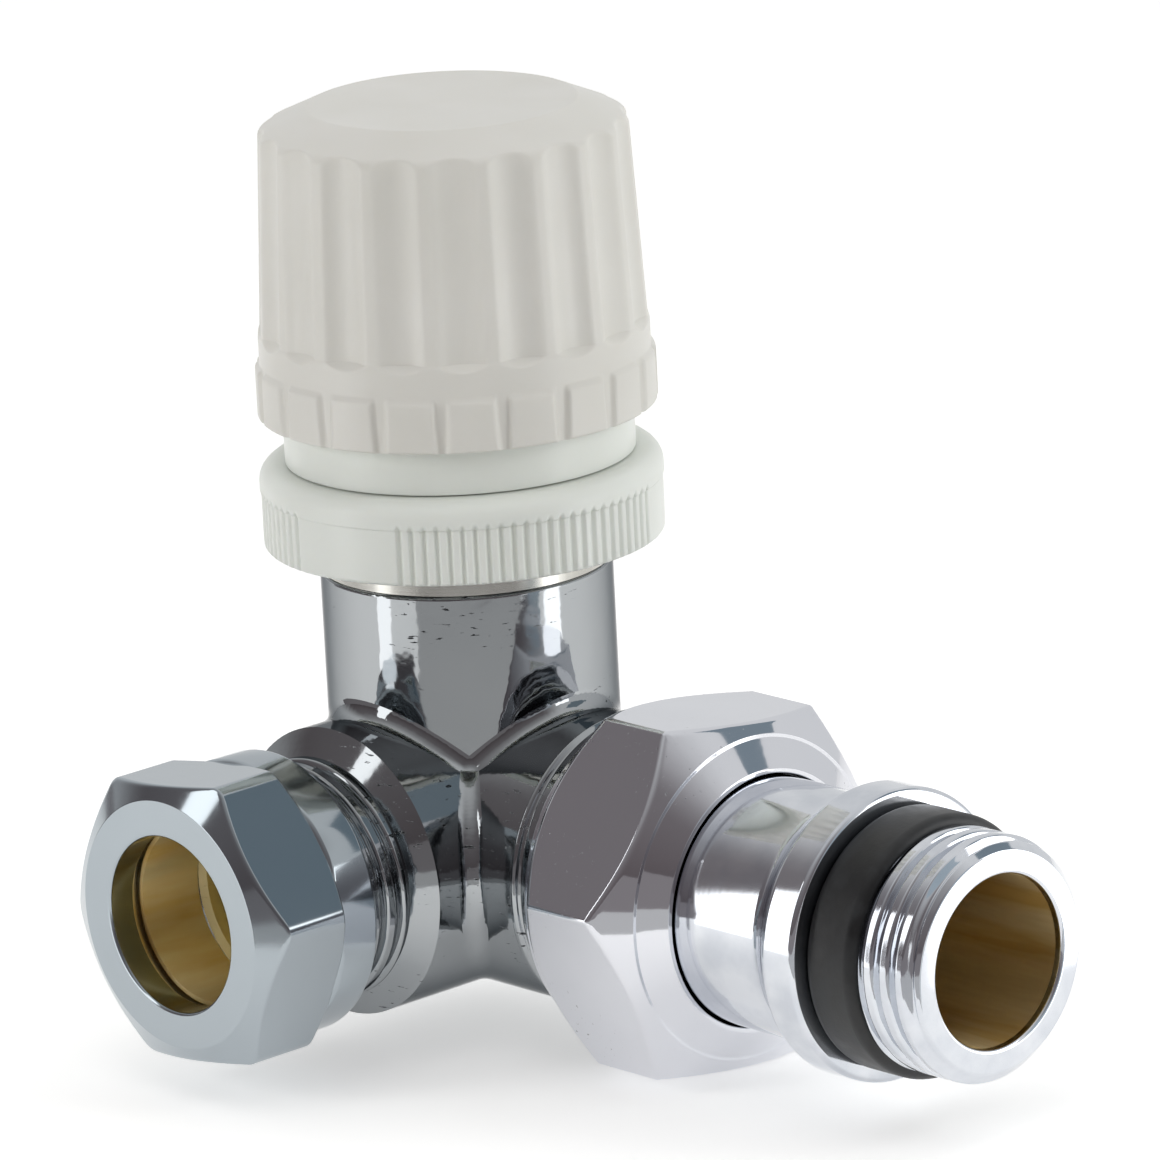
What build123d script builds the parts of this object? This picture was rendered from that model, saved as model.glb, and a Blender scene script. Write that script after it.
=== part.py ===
from build123d import *
from math import atan2, cos, degrees, radians, sin, sqrt
import os

# An angled radiator valve with a hand cap: pipe inlet towards -Y, radiator tail towards +X, head towards +Z.
# The origin is on the tail axis, where the radiator thread starts. Every size is in millimetres.

# Standard connections and working clearances
pipe_radius = 7.5
pipe_clearance = 0.1
radiator_thread_radius = 10.45
radiator_thread_length = 6.2
inlet_thread_radius = 9.95
outlet_thread_radius = 12.45
thread_play = 0.25
turning_play = 0.3
sliding_play = 0.15
face_gap = 0.15
seal_squeeze_gap = 0.05

# Forged body, measured from the point where its three axes meet
tail_reach = 56.4
body_radius = 12.6
neck_top = 24.1
neck_rounding = 0.4
valley_rounding = 1.6
inlet_shoulder = 16.45
outlet_shoulder = 17.6
shoulder_bevel = 1.6
inlet_reach = 27.0
outlet_reach = 27.0
stub_chamfer = 0.6
pipe_stop = 16.0
pipe_mouth_flare = 1.4

# Waterway and seat
waterway_radius = 4.0
port_radius = 4.5
seat_height = 2.5
seat_chamber_radius = 8.5
port_depth = 9.5
inlet_drop = 7.0
outlet_rise = 10.0
spigot_socket_depth = 6.0

# Bonnet, gland and spindle
bonnet_thread_radius = 9.9
bonnet_bottom = 13.2
bonnet_floor = 1.5
bonnet_bore_radius = 6.2
bonnet_flange_inset = 0.1
bonnet_flange_height = 2.3
head_thread_radius = 14.8
head_thread_height = 3.8
bonnet_crown_radius = 9.0
bonnet_crown_height = 0.8
bonnet_seal_section = 0.75
gland_depth = 6.5
gland_head_flats = 14.0
gland_head_height = 3.0
gland_seal_section = 0.72
spindle_radius = 2.0
spindle_tip = 38.0
spindle_bore_play = 0.25
stem_end_radius = 1.5
stem_end_below_nut = 0.5

# Disc, spring and retaining pieces on the spindle
valve_stroke = 3.0
washer_radius = 6.3
washer_thickness = 1.8
holder_radius = 7.0
holder_rim = 0.8
holder_height = 3.0
disc_nut_flats = 5.5
disc_nut_height = 2.0
spring_wire = 0.9
spring_radius = 4.6
spring_length = 6.8
spring_turns = 4
collar_radius = 5.7
collar_thickness = 1.0
clip_thickness = 0.7
clip_radius = 3.4
clip_gap_angle = 70.0

# Head sleeve and pressure pin
sleeve_radius = 15.05
sleeve_shoulder_height = 40.0
sleeve_flange_radius = 14.4
sleeve_flange_height = 1.0
sleeve_neck_radius = 13.55
sleeve_bore_radius = 9.6
sleeve_web_bottom = 41.0
sleeve_web_height = 3.0
sleeve_tube_radius = 11.3
sleeve_tube_bore = 9.0
sleeve_tube_top = 53.0
pin_flats = 7.0
pin_head_radius = 5.5
pin_head_height = 2.0
pin_top = 50.0

# Lock ring
ring_bottom = 26.25
ring_top = 33.5
ring_radius = 17.35
ring_lip_height = 1.9
ring_crown_rounding = 1.5
knurl_top = 31.4
knurl_pitch_angle = 3.5
knurl_groove_width = 0.5
knurl_depth = 0.32
knurl_smooth_angle = 36.0
knurl_smooth_centre = -86.4
knurl_sectors = 3

# Hand cap
cap_bottom = 37.7
cap_top = 64.3
cap_skirt_radius = 17.15
cap_skirt_wall = 1.75
cap_band_top = 44.4
cap_ledge_height = 0.8
cap_ledge_radius = 16.65
cap_shoulder_height = 62.4
cap_shoulder_radius = 15.9
cap_disc_radius = 11.5
cap_shoulder_rounding = 1.1
cap_disc_rounding = 0.7
cap_wall = 2.1
cap_ceiling = 60.7
cap_thread_wall = 1.2
cap_thread_bottom = 44.2
cap_post_radius = 4.0
flute_count = 18
flute_width = 4.7
flute_depth = 0.75
flute_taper = 0.97
flute_phase = 1.9
tab_count = 20
tab_phase = 6.9
tab_top = 41.9
tab_slot_width = 1.3
tab_slot_depth = 0.7

# Compression nut and olive, measured along the inlet axis
nut_overlap = 3.8
nut_collar_length = 4.0
nut_length = 12.6
nut_flats = 24.0
nut_collar_radius = 12.3
nut_face_radius = 10.8
nut_face_chamfer = 1.75
nut_back_chamfer = 0.9
nut_edge = 0.35
nut_turn = 6.0
nut_corner_rounding = 1.6
nut_thread_past_stub = 4.0
nut_cone_length = 2.2
nut_cone_radius = 9.3
olive_length = 6.2
olive_radius = 8.85
olive_end_wall = 0.4
olive_land = 2.0
olive_play = 0.05

# Union nut, tail and seals, measured along the tail axis
union_length = 14.2
union_flats = 30.0
union_back_radius = 14.6
union_back_collar = 0.55
union_back_chamfer = 3.05
union_front_chamfer = 0.85
union_front_radius = 14.4
union_lip_height = 1.45
union_lip_radius = 13.2
union_lip_rounding = 1.1
union_lip_length = 6.2
union_turn = 24.5
tail_bore_radius = 7.36
spigot_radius = 9.5
spigot_end_gap = 0.6
spigot_chamfer = 0.5
shank_radius = 10.7
shank_gap = 0.4
tail_flange_width = 4.55
tail_flange_radius = 12.5
tail_flange_fillet = 1.3
tail_flange_edge = 0.5
tail_neck_radius = 10.2
tail_end_chamfer = 1.1
tail_seal_width = 5.45
tail_seal_radius = 11.2
tail_seal_edge = 0.9
clip_ring_radius = 12.4
clip_ring_thickness = 1.6
clip_ring_gap_angle = 50.0
union_seal_section = 0.58
union_seal_inset = 2.8
union_groove_width = 1.6

# Directions in which the pieces are turned
HEAD = Rotation(0, 0, 0)
TAIL = Rotation(0, 90, 0)
INLET = Rotation(90, 0, 0)
FAR_SIDE = Rotation(0, 0, 135)


def turned(outline, way=HEAD):
    """Revolve an outline of (along, radius, rounding) corners round the head, tail or inlet axis."""
    corners = [(corner[1], corner[0]) for corner in outline]
    roundings = [corner[2] if len(corner) > 2 else 0 for corner in outline]
    if any(roundings):
        edge = FilletPolyline(*corners, radius=roundings, close=True)
    else:
        edge = Polyline(*corners, close=True)
    return way * revolve(Plane.XZ * make_face(edge), Axis.Z)


def rod(start, end, radius, way=HEAD):
    """A plain round bar or drill along one axis."""
    return turned([(start, 0), (start, radius), (end, radius), (end, 0)], way)


def hex_bar(start, end, flats, way=HEAD, turn=0.0, rounding=0.0):
    """A hexagonal bar of a width across flats along one axis, with its corners sharp or rounded."""
    section = RegularPolygon(flats / 2, 6, major_radius=False, rotation=turn)
    if rounding:
        section = fillet(section.vertices(), rounding)
    return way * (Pos(0, 0, start) * extrude(section, amount=end - start))


def ring(along, centre_radius, section_radius, way=HEAD):
    """A round-section sealing ring."""
    return way * (Pos(0, 0, along) * Torus(centre_radius, section_radius))


def drill(start, end, radius):
    """A straight drilled waterway between two points."""
    line = Vector(end) - Vector(start)
    plane = Plane(origin=start, z_dir=line)
    return plane * Cylinder(radius, line.length, align=(Align.CENTER, Align.CENTER, Align.MIN))


def split(piece, start, end, radius, angle, way=HEAD):
    """Cut a wedge out of a retaining ring so that it can spring open."""
    wedge = Polyline(
        (0, 0),
        (radius * cos(radians(angle / 2)), -radius * sin(radians(angle / 2))),
        (radius * cos(radians(angle / 2)), radius * sin(radians(angle / 2))),
        close=True,
    )
    return piece - way * (Pos(0, 0, start) * extrude(make_face(wedge), amount=end - start))


# Places that several pieces share
pipe_socket_radius = pipe_radius + pipe_clearance
socket_radius = spigot_radius + sliding_play
bonnet_hole_radius = bonnet_thread_radius + 2 * seal_squeeze_gap
bonnet_seal_groove = 2 * (bonnet_seal_section + seal_squeeze_gap)
head_seat = neck_top + bonnet_flange_height + head_thread_height
gland_seat = head_seat + bonnet_crown_height
spring_floor = bonnet_bottom + bonnet_floor
collar_bottom = spring_floor + spring_length
washer_bottom = seat_height + valve_stroke + seal_squeeze_gap
holder_bottom = washer_bottom + washer_thickness
holder_top = holder_bottom + holder_height
disc_nut_bottom = washer_bottom - disc_nut_height
stem_play = seal_squeeze_gap
gland_bore = spindle_radius + spindle_bore_play
sleeve_bottom = head_seat + face_gap
ring_bore = head_thread_radius + turning_play
ring_lip_bottom = ring_top - ring_lip_height
nut_back = inlet_reach - nut_overlap
nut_hex_back = nut_back + nut_collar_length
nut_face = nut_back + nut_length
nut_thread_end = inlet_reach + nut_thread_past_stub
nut_cone_end = nut_thread_end + nut_cone_length
nut_bore = inlet_thread_radius + thread_play
tail_end = tail_reach + radiator_thread_length
tail_flange_face = tail_reach - tail_seal_width
tail_flange_back = tail_flange_face - tail_flange_width
spigot_start = outlet_reach - spigot_socket_depth + spigot_end_gap
shank_start = outlet_reach + clip_ring_thickness + shank_gap
union_face = shank_start + union_lip_length
union_front = union_face - union_lip_height
union_hex_front = union_front - union_front_chamfer
union_back = union_face - union_length
union_hex_back = union_back + union_back_collar
union_seal_place = outlet_reach - union_seal_inset
union_bore = outlet_thread_radius + thread_play
union_lip_bore = shank_radius + 1.5 * turning_play
union_seat = shank_start + face_gap


def forged_bar(length, way):
    """One round arm of the forging, with its seam on the side away from the valleys."""
    arm = Cylinder(body_radius, length, align=(Align.CENTER, Align.CENTER, Align.MIN))
    return way * (FAR_SIDE * arm)


def valve_body():
    """Brass forging: core, neck and two arms with rounded valleys, threaded stubs and drilled ways."""
    neck_outline = [(0, 0), (0, body_radius), (neck_top, body_radius, neck_rounding), (neck_top, 0)]
    forging = FAR_SIDE * turned(neck_outline)
    forging += forged_bar(inlet_shoulder, INLET)
    forging += forged_bar(outlet_shoulder, TAIL)
    forging += FAR_SIDE * Sphere(body_radius)
    forging = fillet(forging.edges().filter_by(GeomType.ELLIPSE), valley_rounding)
    forging += turned(
        [
            (inlet_shoulder, 0),
            (inlet_shoulder, body_radius),
            (inlet_shoulder + shoulder_bevel, inlet_thread_radius),
            (inlet_reach - stub_chamfer, inlet_thread_radius),
            (inlet_reach, inlet_thread_radius - stub_chamfer),
            (inlet_reach, 0),
        ],
        INLET,
    )
    forging += turned(
        [
            (outlet_shoulder, 0),
            (outlet_shoulder, outlet_thread_radius),
            (outlet_reach - stub_chamfer, outlet_thread_radius),
            (outlet_reach, outlet_thread_radius - stub_chamfer),
            (outlet_reach, 0),
        ],
        TAIL,
    )
    forging -= turned(
        [
            (pipe_stop, 0),
            (pipe_stop, pipe_socket_radius),
            (inlet_reach - 1.5 * pipe_mouth_flare, pipe_socket_radius),
            (inlet_reach, pipe_socket_radius + pipe_mouth_flare),
            (inlet_reach, 0),
        ],
        INLET,
    )
    forging -= rod(outlet_reach - spigot_socket_depth, outlet_reach, socket_radius, TAIL)
    seal_step = neck_top - bonnet_seal_groove
    seal_step_radius = bonnet_thread_radius + bonnet_seal_groove
    forging -= turned(
        [
            (seat_height, 0),
            (seat_height, seat_chamber_radius),
            (bonnet_bottom - face_gap, seat_chamber_radius),
            (bonnet_bottom - face_gap, bonnet_hole_radius),
            (seal_step, bonnet_hole_radius),
            (seal_step, seal_step_radius),
            (neck_top, seal_step_radius),
            (neck_top, 0),
        ]
    )
    forging -= rod(-port_depth, seat_height, port_radius)
    forging -= drill((0, -pipe_stop - 1, 0), (0, 0, -inlet_drop), waterway_radius)
    socket_floor = outlet_reach - spigot_socket_depth
    forging -= drill((socket_floor + 1, 0, waterway_radius / 2), (0, 0, outlet_rise), waterway_radius)
    return forging


def bonnet():
    """Screwed-in bonnet with the head thread round its top and the spring well inside."""
    flange_top = neck_top + bonnet_flange_height
    flange_radius = body_radius - bonnet_flange_inset
    return turned(
        [
            (bonnet_bottom, gland_bore),
            (bonnet_bottom, bonnet_thread_radius - stub_chamfer),
            (bonnet_bottom + stub_chamfer, bonnet_thread_radius),
            (neck_top, bonnet_thread_radius),
            (neck_top, flange_radius),
            (flange_top, flange_radius),
            (flange_top, head_thread_radius - stub_chamfer),
            (flange_top + stub_chamfer, head_thread_radius),
            (head_seat - stub_chamfer, head_thread_radius),
            (head_seat, head_thread_radius - stub_chamfer),
            (head_seat, bonnet_crown_radius),
            (gland_seat, bonnet_crown_radius),
            (gland_seat, bonnet_bore_radius),
            (spring_floor, bonnet_bore_radius),
            (spring_floor, gland_bore),
        ]
    )


def bonnet_o_ring():
    """Seal between the bonnet flange and the neck."""
    centre = neck_top - bonnet_seal_groove / 2
    return ring(centre, bonnet_thread_radius + bonnet_seal_groove / 2, bonnet_seal_section)


def gland_place():
    """Height of the middle of the spindle seal's groove."""
    return gland_seat - gland_depth / 2


def gland_nut():
    """Gland that closes the spring well and guides the spindle, with a groove for its seal."""
    groove = gland_seal_section + seal_squeeze_gap
    groove_radius = gland_bore + 2 * gland_seal_section + seal_squeeze_gap
    shank = bonnet_bore_radius - 2 * seal_squeeze_gap
    barrel = rod(gland_seat - gland_depth, gland_seat + gland_head_height / 2, shank)
    head = hex_bar(gland_seat, gland_seat + gland_head_height, gland_head_flats)
    bore = turned(
        [
            (gland_seat - gland_depth, 0),
            (gland_seat - gland_depth, gland_bore),
            (gland_place() - groove, gland_bore),
            (gland_place() - groove, groove_radius),
            (gland_place() + groove, groove_radius),
            (gland_place() + groove, gland_bore),
            (gland_seat + gland_head_height, gland_bore),
            (gland_seat + gland_head_height, 0),
        ]
    )
    return barrel + head - bore


def gland_o_ring():
    """Seal round the spindle, in the gland's groove."""
    return ring(gland_place(), gland_bore + gland_seal_section, gland_seal_section)


def return_spring():
    """Compression spring that lifts the spindle off the seat."""
    rise = spring_length - spring_wire
    coil = Helix(rise / spring_turns, rise, spring_radius)
    section = Plane(origin=coil @ 0, z_dir=coil % 0) * Circle(spring_wire / 2)
    return Pos(0, 0, spring_floor + spring_wire / 2) * sweep(section, coil, is_frenet=True)


def spindle():
    """Steel spindle, stepped down where it carries the disc."""
    return turned(
        [
            (disc_nut_bottom - stem_end_below_nut, 0),
            (disc_nut_bottom - stem_end_below_nut, stem_end_radius),
            (holder_top, stem_end_radius),
            (holder_top, spindle_radius),
            (spindle_tip - face_gap, spindle_radius, spindle_radius / 3),
            (spindle_tip - face_gap, 0),
        ]
    )


def spring_collar():
    """Washer on the spindle that the spring lifts."""
    return turned(
        [
            (collar_bottom, spindle_radius + stem_play),
            (collar_bottom, collar_radius),
            (collar_bottom + collar_thickness, collar_radius),
            (collar_bottom + collar_thickness, spindle_radius + stem_play),
        ]
    )


def collar_clip():
    """Open retaining clip that holds the collar on the spindle."""
    bottom = collar_bottom + collar_thickness
    top = bottom + clip_thickness
    whole = rod(bottom, top, clip_radius) - rod(bottom, top, spindle_radius + stem_play)
    return split(whole, bottom, top, 2 * clip_radius, clip_gap_angle)


def disc_holder():
    """Brass cup that backs the seat washer and wraps its rim."""
    rim_bottom = holder_bottom - washer_thickness / 2
    inner = washer_radius + stem_play
    return turned(
        [
            (holder_bottom, stem_end_radius + stem_play),
            (holder_bottom, inner),
            (rim_bottom, inner),
            (rim_bottom, inner + holder_rim),
            (holder_bottom + holder_height / 2, inner + holder_rim),
            (holder_top, holder_radius / 2),
            (holder_top, stem_end_radius + stem_play),
        ]
    )


def seat_washer():
    """Rubber washer that closes on the seat."""
    hole = stem_end_radius + stem_play
    return rod(washer_bottom, holder_bottom, washer_radius) - rod(washer_bottom, holder_bottom, hole)


def disc_nut():
    """Small nut that clamps the washer."""
    hole = stem_end_radius + stem_play
    return hex_bar(disc_nut_bottom, washer_bottom, disc_nut_flats) - rod(disc_nut_bottom, washer_bottom, hole)


def head_sleeve():
    """Moulded sleeve under the cap: snap flange below, web with the pin's hexagon, thread tube above."""
    collar_base = ring_top + face_gap
    web_top = sleeve_web_bottom + sleeve_web_height
    sleeve = turned(
        [
            (sleeve_bottom, sleeve_bore_radius),
            (sleeve_bottom, sleeve_flange_radius),
            (sleeve_bottom + sleeve_flange_height, sleeve_flange_radius),
            (sleeve_bottom + sleeve_flange_height, sleeve_neck_radius),
            (collar_base, sleeve_neck_radius),
            (collar_base, sleeve_radius),
            (sleeve_shoulder_height, sleeve_radius),
            (sleeve_shoulder_height, sleeve_tube_radius),
            (sleeve_tube_top, sleeve_tube_radius),
            (sleeve_tube_top, sleeve_tube_bore),
            (web_top, sleeve_tube_bore),
            (web_top, 0),
            (sleeve_web_bottom, 0),
            (sleeve_web_bottom, sleeve_bore_radius),
        ]
    )
    return sleeve - hex_bar(sleeve_web_bottom, web_top, pin_flats + 2 * turning_play)


def pressure_pin():
    """Hexagonal pin that passes the cap's travel to the spindle without turning."""
    head_bottom = pin_top - pin_head_height
    return hex_bar(spindle_tip, head_bottom + pin_head_height / 2, pin_flats) + rod(
        head_bottom, pin_top, pin_head_radius
    )


def knurl_outline():
    """Corners of the ring's grip: fine grooves in sectors, with smooth stretches between them."""
    sector = 360 / knurl_sectors
    ribbed = sector - knurl_smooth_angle
    grooves = int(ribbed / knurl_pitch_angle)
    half_width = degrees(knurl_groove_width / 2 / ring_radius)
    smooth_step = knurl_smooth_angle / 6
    corners = []
    for sector_index in range(knurl_sectors):
        smooth_end = knurl_smooth_centre + knurl_smooth_angle / 2 + sector_index * sector
        for step in range(1, 6):
            corners.append((ring_radius, smooth_end - knurl_smooth_angle + step * smooth_step))
        for groove in range(grooves):
            middle = smooth_end + (groove + 0.5) * ribbed / grooves
            corners.append((ring_radius, middle - half_width))
            corners.append((ring_radius - knurl_depth, middle))
            corners.append((ring_radius, middle + half_width))
    return [(radius * cos(radians(angle)), radius * sin(radians(angle))) for radius, angle in corners]


def lock_ring():
    """Union ring that holds the head on its thread: knurled grip below, smooth rounded crown above."""
    section = make_face(Polyline(*knurl_outline(), close=True))
    grip = Pos(0, 0, ring_bottom) * extrude(section, amount=knurl_top - ring_bottom)
    lip_bore = sleeve_neck_radius + turning_play
    crown = turned(
        [
            (knurl_top, 0),
            (knurl_top, ring_radius),
            (ring_top, ring_radius, ring_crown_rounding),
            (ring_top, 0),
        ]
    )
    bore = turned(
        [
            (ring_bottom, 0),
            (ring_bottom, ring_bore),
            (ring_lip_bottom, ring_bore),
            (ring_lip_bottom, lip_bore),
            (ring_top, lip_bore),
            (ring_top, 0),
        ]
    )
    return grip + crown - bore


def cap_flutes():
    """Leaning round cutters for the grip flutes."""
    foot = cap_band_top + cap_ledge_height
    rise = cap_shoulder_height - foot
    lean = degrees(atan2(cap_ledge_radius - cap_shoulder_radius, rise))
    cutter_radius = (flute_width**2 / 4 + flute_depth**2) / (2 * flute_depth)
    cutter = Cone(
        cutter_radius, flute_taper * cutter_radius, 2 * rise, align=(Align.CENTER, Align.CENTER, Align.MIN)
    )
    centre = cap_ledge_radius - flute_depth + cutter_radius
    first = Pos(centre, 0, foot) * Rotation(0, -lean, 0) * cutter
    pitch = 360 / flute_count
    return [Rotation(0, 0, flute_phase + index * pitch) * first for index in range(flute_count)]


def cap_slots():
    """Upright slots that part the skirt into tabs."""
    slot = Box(2 * tab_slot_depth, tab_slot_width, 2 * (tab_top - cap_bottom))
    first = Pos(cap_skirt_radius, 0, cap_bottom) * slot
    pitch = 360 / tab_count
    return [Rotation(0, 0, tab_phase + index * pitch) * first for index in range(tab_count)]


def hand_cap():
    """Moulded hand cap: fluted grip, tabbed skirt, thread tube and centre post inside."""
    cap = turned(
        [
            (cap_bottom, 0),
            (cap_bottom, cap_skirt_radius),
            (cap_band_top, cap_skirt_radius),
            (cap_band_top + cap_ledge_height, cap_ledge_radius),
            (cap_shoulder_height, cap_shoulder_radius, cap_shoulder_rounding),
            (cap_top, cap_disc_radius, cap_disc_rounding),
            (cap_top, 0),
        ]
    )
    flutes = cap_flutes()
    cap -= flutes[0::2]
    cap -= flutes[1::2]
    cap -= cap_slots()
    tube_bore = sleeve_tube_radius + thread_play
    skirt_bore = cap_skirt_radius - cap_skirt_wall
    grip_bore = cap_shoulder_radius - cap_wall
    cap -= turned(
        [
            (cap_bottom, 0),
            (cap_bottom, skirt_bore),
            (cap_thread_bottom, skirt_bore),
            (cap_thread_bottom, grip_bore),
            (cap_ceiling, grip_bore),
            (cap_ceiling, tube_bore + cap_thread_wall),
            (cap_thread_bottom, tube_bore + cap_thread_wall),
            (cap_thread_bottom, tube_bore),
            (cap_ceiling, tube_bore),
            (cap_ceiling, cap_post_radius),
            (pin_top + face_gap, cap_post_radius),
            (pin_top + face_gap, 0),
        ]
    )
    return cap


def compression_nut():
    """Hexagon nut that squeezes the olive, with a round collar behind its flats."""
    corner = nut_flats / sqrt(3)
    envelope = turned(
        [
            (nut_back, 0),
            (nut_back, nut_collar_radius - nut_edge),
            (nut_back + nut_edge, nut_collar_radius),
            (nut_hex_back, nut_collar_radius),
            (nut_hex_back + nut_back_chamfer, corner + nut_edge),
            (nut_face - nut_face_chamfer, corner),
            (nut_face, nut_face_radius),
            (nut_face, 0),
        ],
        INLET,
    )
    flats = hex_bar(nut_hex_back, nut_face, nut_flats, INLET, nut_turn, nut_corner_rounding)
    flats += rod(nut_back, nut_hex_back, nut_collar_radius, INLET)
    bore = turned(
        [
            (nut_back, 0),
            (nut_back, nut_bore),
            (nut_thread_end, nut_bore),
            (nut_thread_end, nut_cone_radius),
            (nut_cone_end, pipe_socket_radius + olive_play),
            (nut_face, pipe_socket_radius + olive_play),
            (nut_face, 0),
        ],
        INLET,
    )
    return (envelope & flats) - bore


def olive():
    """Soft brass ring that the nut squeezes on to the pipe."""
    start = inlet_reach - olive_end_wall - pipe_mouth_flare / 2
    middle = start + olive_length / 2
    hole = pipe_socket_radius + olive_play
    return turned(
        [
            (start, hole),
            (start, hole + olive_end_wall),
            (middle - olive_land / 2, olive_radius),
            (middle + olive_land / 2, olive_radius),
            (start + olive_length, hole + olive_end_wall),
            (start + olive_length, hole),
        ],
        INLET,
    )


def union_nut():
    """Large hexagon nut that draws the tail to the body, with a stepped lip round the tail."""
    corner = union_flats / sqrt(3)
    envelope = turned(
        [
            (union_back, 0),
            (union_back, union_back_radius),
            (union_hex_back, union_back_radius),
            (union_hex_back + union_back_chamfer, corner),
            (union_hex_front, corner),
            (union_front, union_front_radius),
            (union_front, union_lip_radius),
            (union_face, union_lip_radius, union_lip_rounding),
            (union_face, 0),
        ],
        TAIL,
    )
    bore = turned(
        [
            (union_back, 0),
            (union_back, union_bore),
            (union_seat, union_bore),
            (union_seat, union_lip_bore),
            (union_face, union_lip_bore),
            (union_face, 0),
        ],
        TAIL,
    )
    return (envelope & hex_bar(union_back, union_face, union_flats, TAIL, union_turn)) - bore


def tail_piece():
    """Radiator tail: sealed spigot, shank, rounded flange, seal seat and threaded end."""
    groove_floor = socket_radius - seal_squeeze_gap - 2 * union_seal_section
    groove_start = union_seal_place - union_groove_width / 2
    return turned(
        [
            (spigot_start, tail_bore_radius),
            (spigot_start, spigot_radius - spigot_chamfer),
            (spigot_start + spigot_chamfer, spigot_radius),
            (groove_start, spigot_radius),
            (groove_start, groove_floor),
            (groove_start + union_groove_width, groove_floor),
            (groove_start + union_groove_width, spigot_radius),
            (shank_start, spigot_radius),
            (shank_start, shank_radius),
            (tail_flange_back, shank_radius, tail_flange_fillet),
            (tail_flange_back, tail_flange_radius, tail_flange_edge),
            (tail_flange_face, tail_flange_radius, tail_flange_edge),
            (tail_flange_face, tail_neck_radius),
            (tail_reach, tail_neck_radius),
            (tail_reach, radiator_thread_radius),
            (tail_end - tail_end_chamfer, radiator_thread_radius),
            (tail_end, radiator_thread_radius - tail_end_chamfer),
            (tail_end, tail_bore_radius),
        ],
        TAIL,
    )


def tail_seal():
    """Thick rubber ring that seals against the radiator boss."""
    hole = tail_neck_radius + seal_squeeze_gap
    return turned(
        [
            (tail_flange_face, hole),
            (tail_flange_face, tail_seal_radius, tail_seal_edge),
            (tail_reach, tail_seal_radius, tail_seal_edge),
            (tail_reach, hole),
        ],
        TAIL,
    )


def union_clip():
    """Open spring ring that keeps the union nut on the tail."""
    start = shank_start - clip_ring_thickness
    whole = rod(start, shank_start, clip_ring_radius, TAIL)
    whole -= rod(start, shank_start, spigot_radius + seal_squeeze_gap, TAIL)
    return split(whole, start, shank_start, 2 * clip_ring_radius, clip_ring_gap_angle, TAIL)


def union_o_ring():
    """Seal on the spigot, inside the body's socket."""
    centre_radius = socket_radius - seal_squeeze_gap - union_seal_section
    return ring(union_seal_place, centre_radius, union_seal_section, TAIL)


PIECES = [
    valve_body,
    bonnet,
    bonnet_o_ring,
    gland_nut,
    gland_o_ring,
    return_spring,
    spindle,
    spring_collar,
    collar_clip,
    disc_holder,
    seat_washer,
    disc_nut,
    head_sleeve,
    lock_ring,
    pressure_pin,
    hand_cap,
    compression_nut,
    olive,
    union_nut,
    union_clip,
    tail_piece,
    tail_seal,
    union_o_ring,
]

os.makedirs("parts", exist_ok=True)
for piece in PIECES:
    export_step(Pos(-tail_reach, 0, 0) * piece(), f"parts/{piece.__name__}.step")
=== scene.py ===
"""Looks of an angled radiator valve: chromed brass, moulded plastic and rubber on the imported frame."""

import logging
import math
from abc import ABC, abstractmethod
from dataclasses import dataclass
from enum import Enum
from typing import Any, Mapping, Protocol, Sequence

import bpy
import numpy as np
from mathutils import Matrix, Vector

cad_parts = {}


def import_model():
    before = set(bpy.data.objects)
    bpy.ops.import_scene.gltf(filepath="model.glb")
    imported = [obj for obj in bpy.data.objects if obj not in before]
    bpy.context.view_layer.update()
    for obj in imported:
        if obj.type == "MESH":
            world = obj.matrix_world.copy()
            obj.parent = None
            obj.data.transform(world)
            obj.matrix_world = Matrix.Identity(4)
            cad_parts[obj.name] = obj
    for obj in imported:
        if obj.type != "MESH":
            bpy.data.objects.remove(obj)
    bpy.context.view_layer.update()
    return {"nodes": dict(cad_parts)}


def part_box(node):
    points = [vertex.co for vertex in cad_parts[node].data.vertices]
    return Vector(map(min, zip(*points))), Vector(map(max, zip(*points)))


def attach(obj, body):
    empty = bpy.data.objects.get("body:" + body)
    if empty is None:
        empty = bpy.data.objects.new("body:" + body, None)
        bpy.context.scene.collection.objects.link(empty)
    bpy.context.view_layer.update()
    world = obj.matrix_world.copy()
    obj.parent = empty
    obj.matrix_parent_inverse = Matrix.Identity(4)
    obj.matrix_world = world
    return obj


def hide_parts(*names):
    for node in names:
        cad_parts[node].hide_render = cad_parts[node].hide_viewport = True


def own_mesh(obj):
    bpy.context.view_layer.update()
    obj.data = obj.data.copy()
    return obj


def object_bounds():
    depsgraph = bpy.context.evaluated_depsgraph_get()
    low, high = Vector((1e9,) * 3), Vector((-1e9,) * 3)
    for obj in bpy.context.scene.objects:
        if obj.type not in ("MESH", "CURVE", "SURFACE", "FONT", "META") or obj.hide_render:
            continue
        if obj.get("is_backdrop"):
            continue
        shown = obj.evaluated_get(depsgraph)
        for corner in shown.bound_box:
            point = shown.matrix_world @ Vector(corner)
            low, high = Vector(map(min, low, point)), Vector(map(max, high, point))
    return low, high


LOG = logging.getLogger("radiator_valve")

MM = 0.001
NOTHING_CUT = 1000.0  # a distance in mm that no groove reaches, where a relief leaves the surface alone

COLOUR_MIX = {"data_type": "RGBA"}
MIX_A, MIX_B, MIX_OUT = 6, 7, 2  # the colour sockets of a Mix node, which share their names with others
MULTIPLY = {"operation": "MULTIPLY"}
SMOOTH_STEP = {"interpolation_type": "SMOOTHSTEP"}


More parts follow.
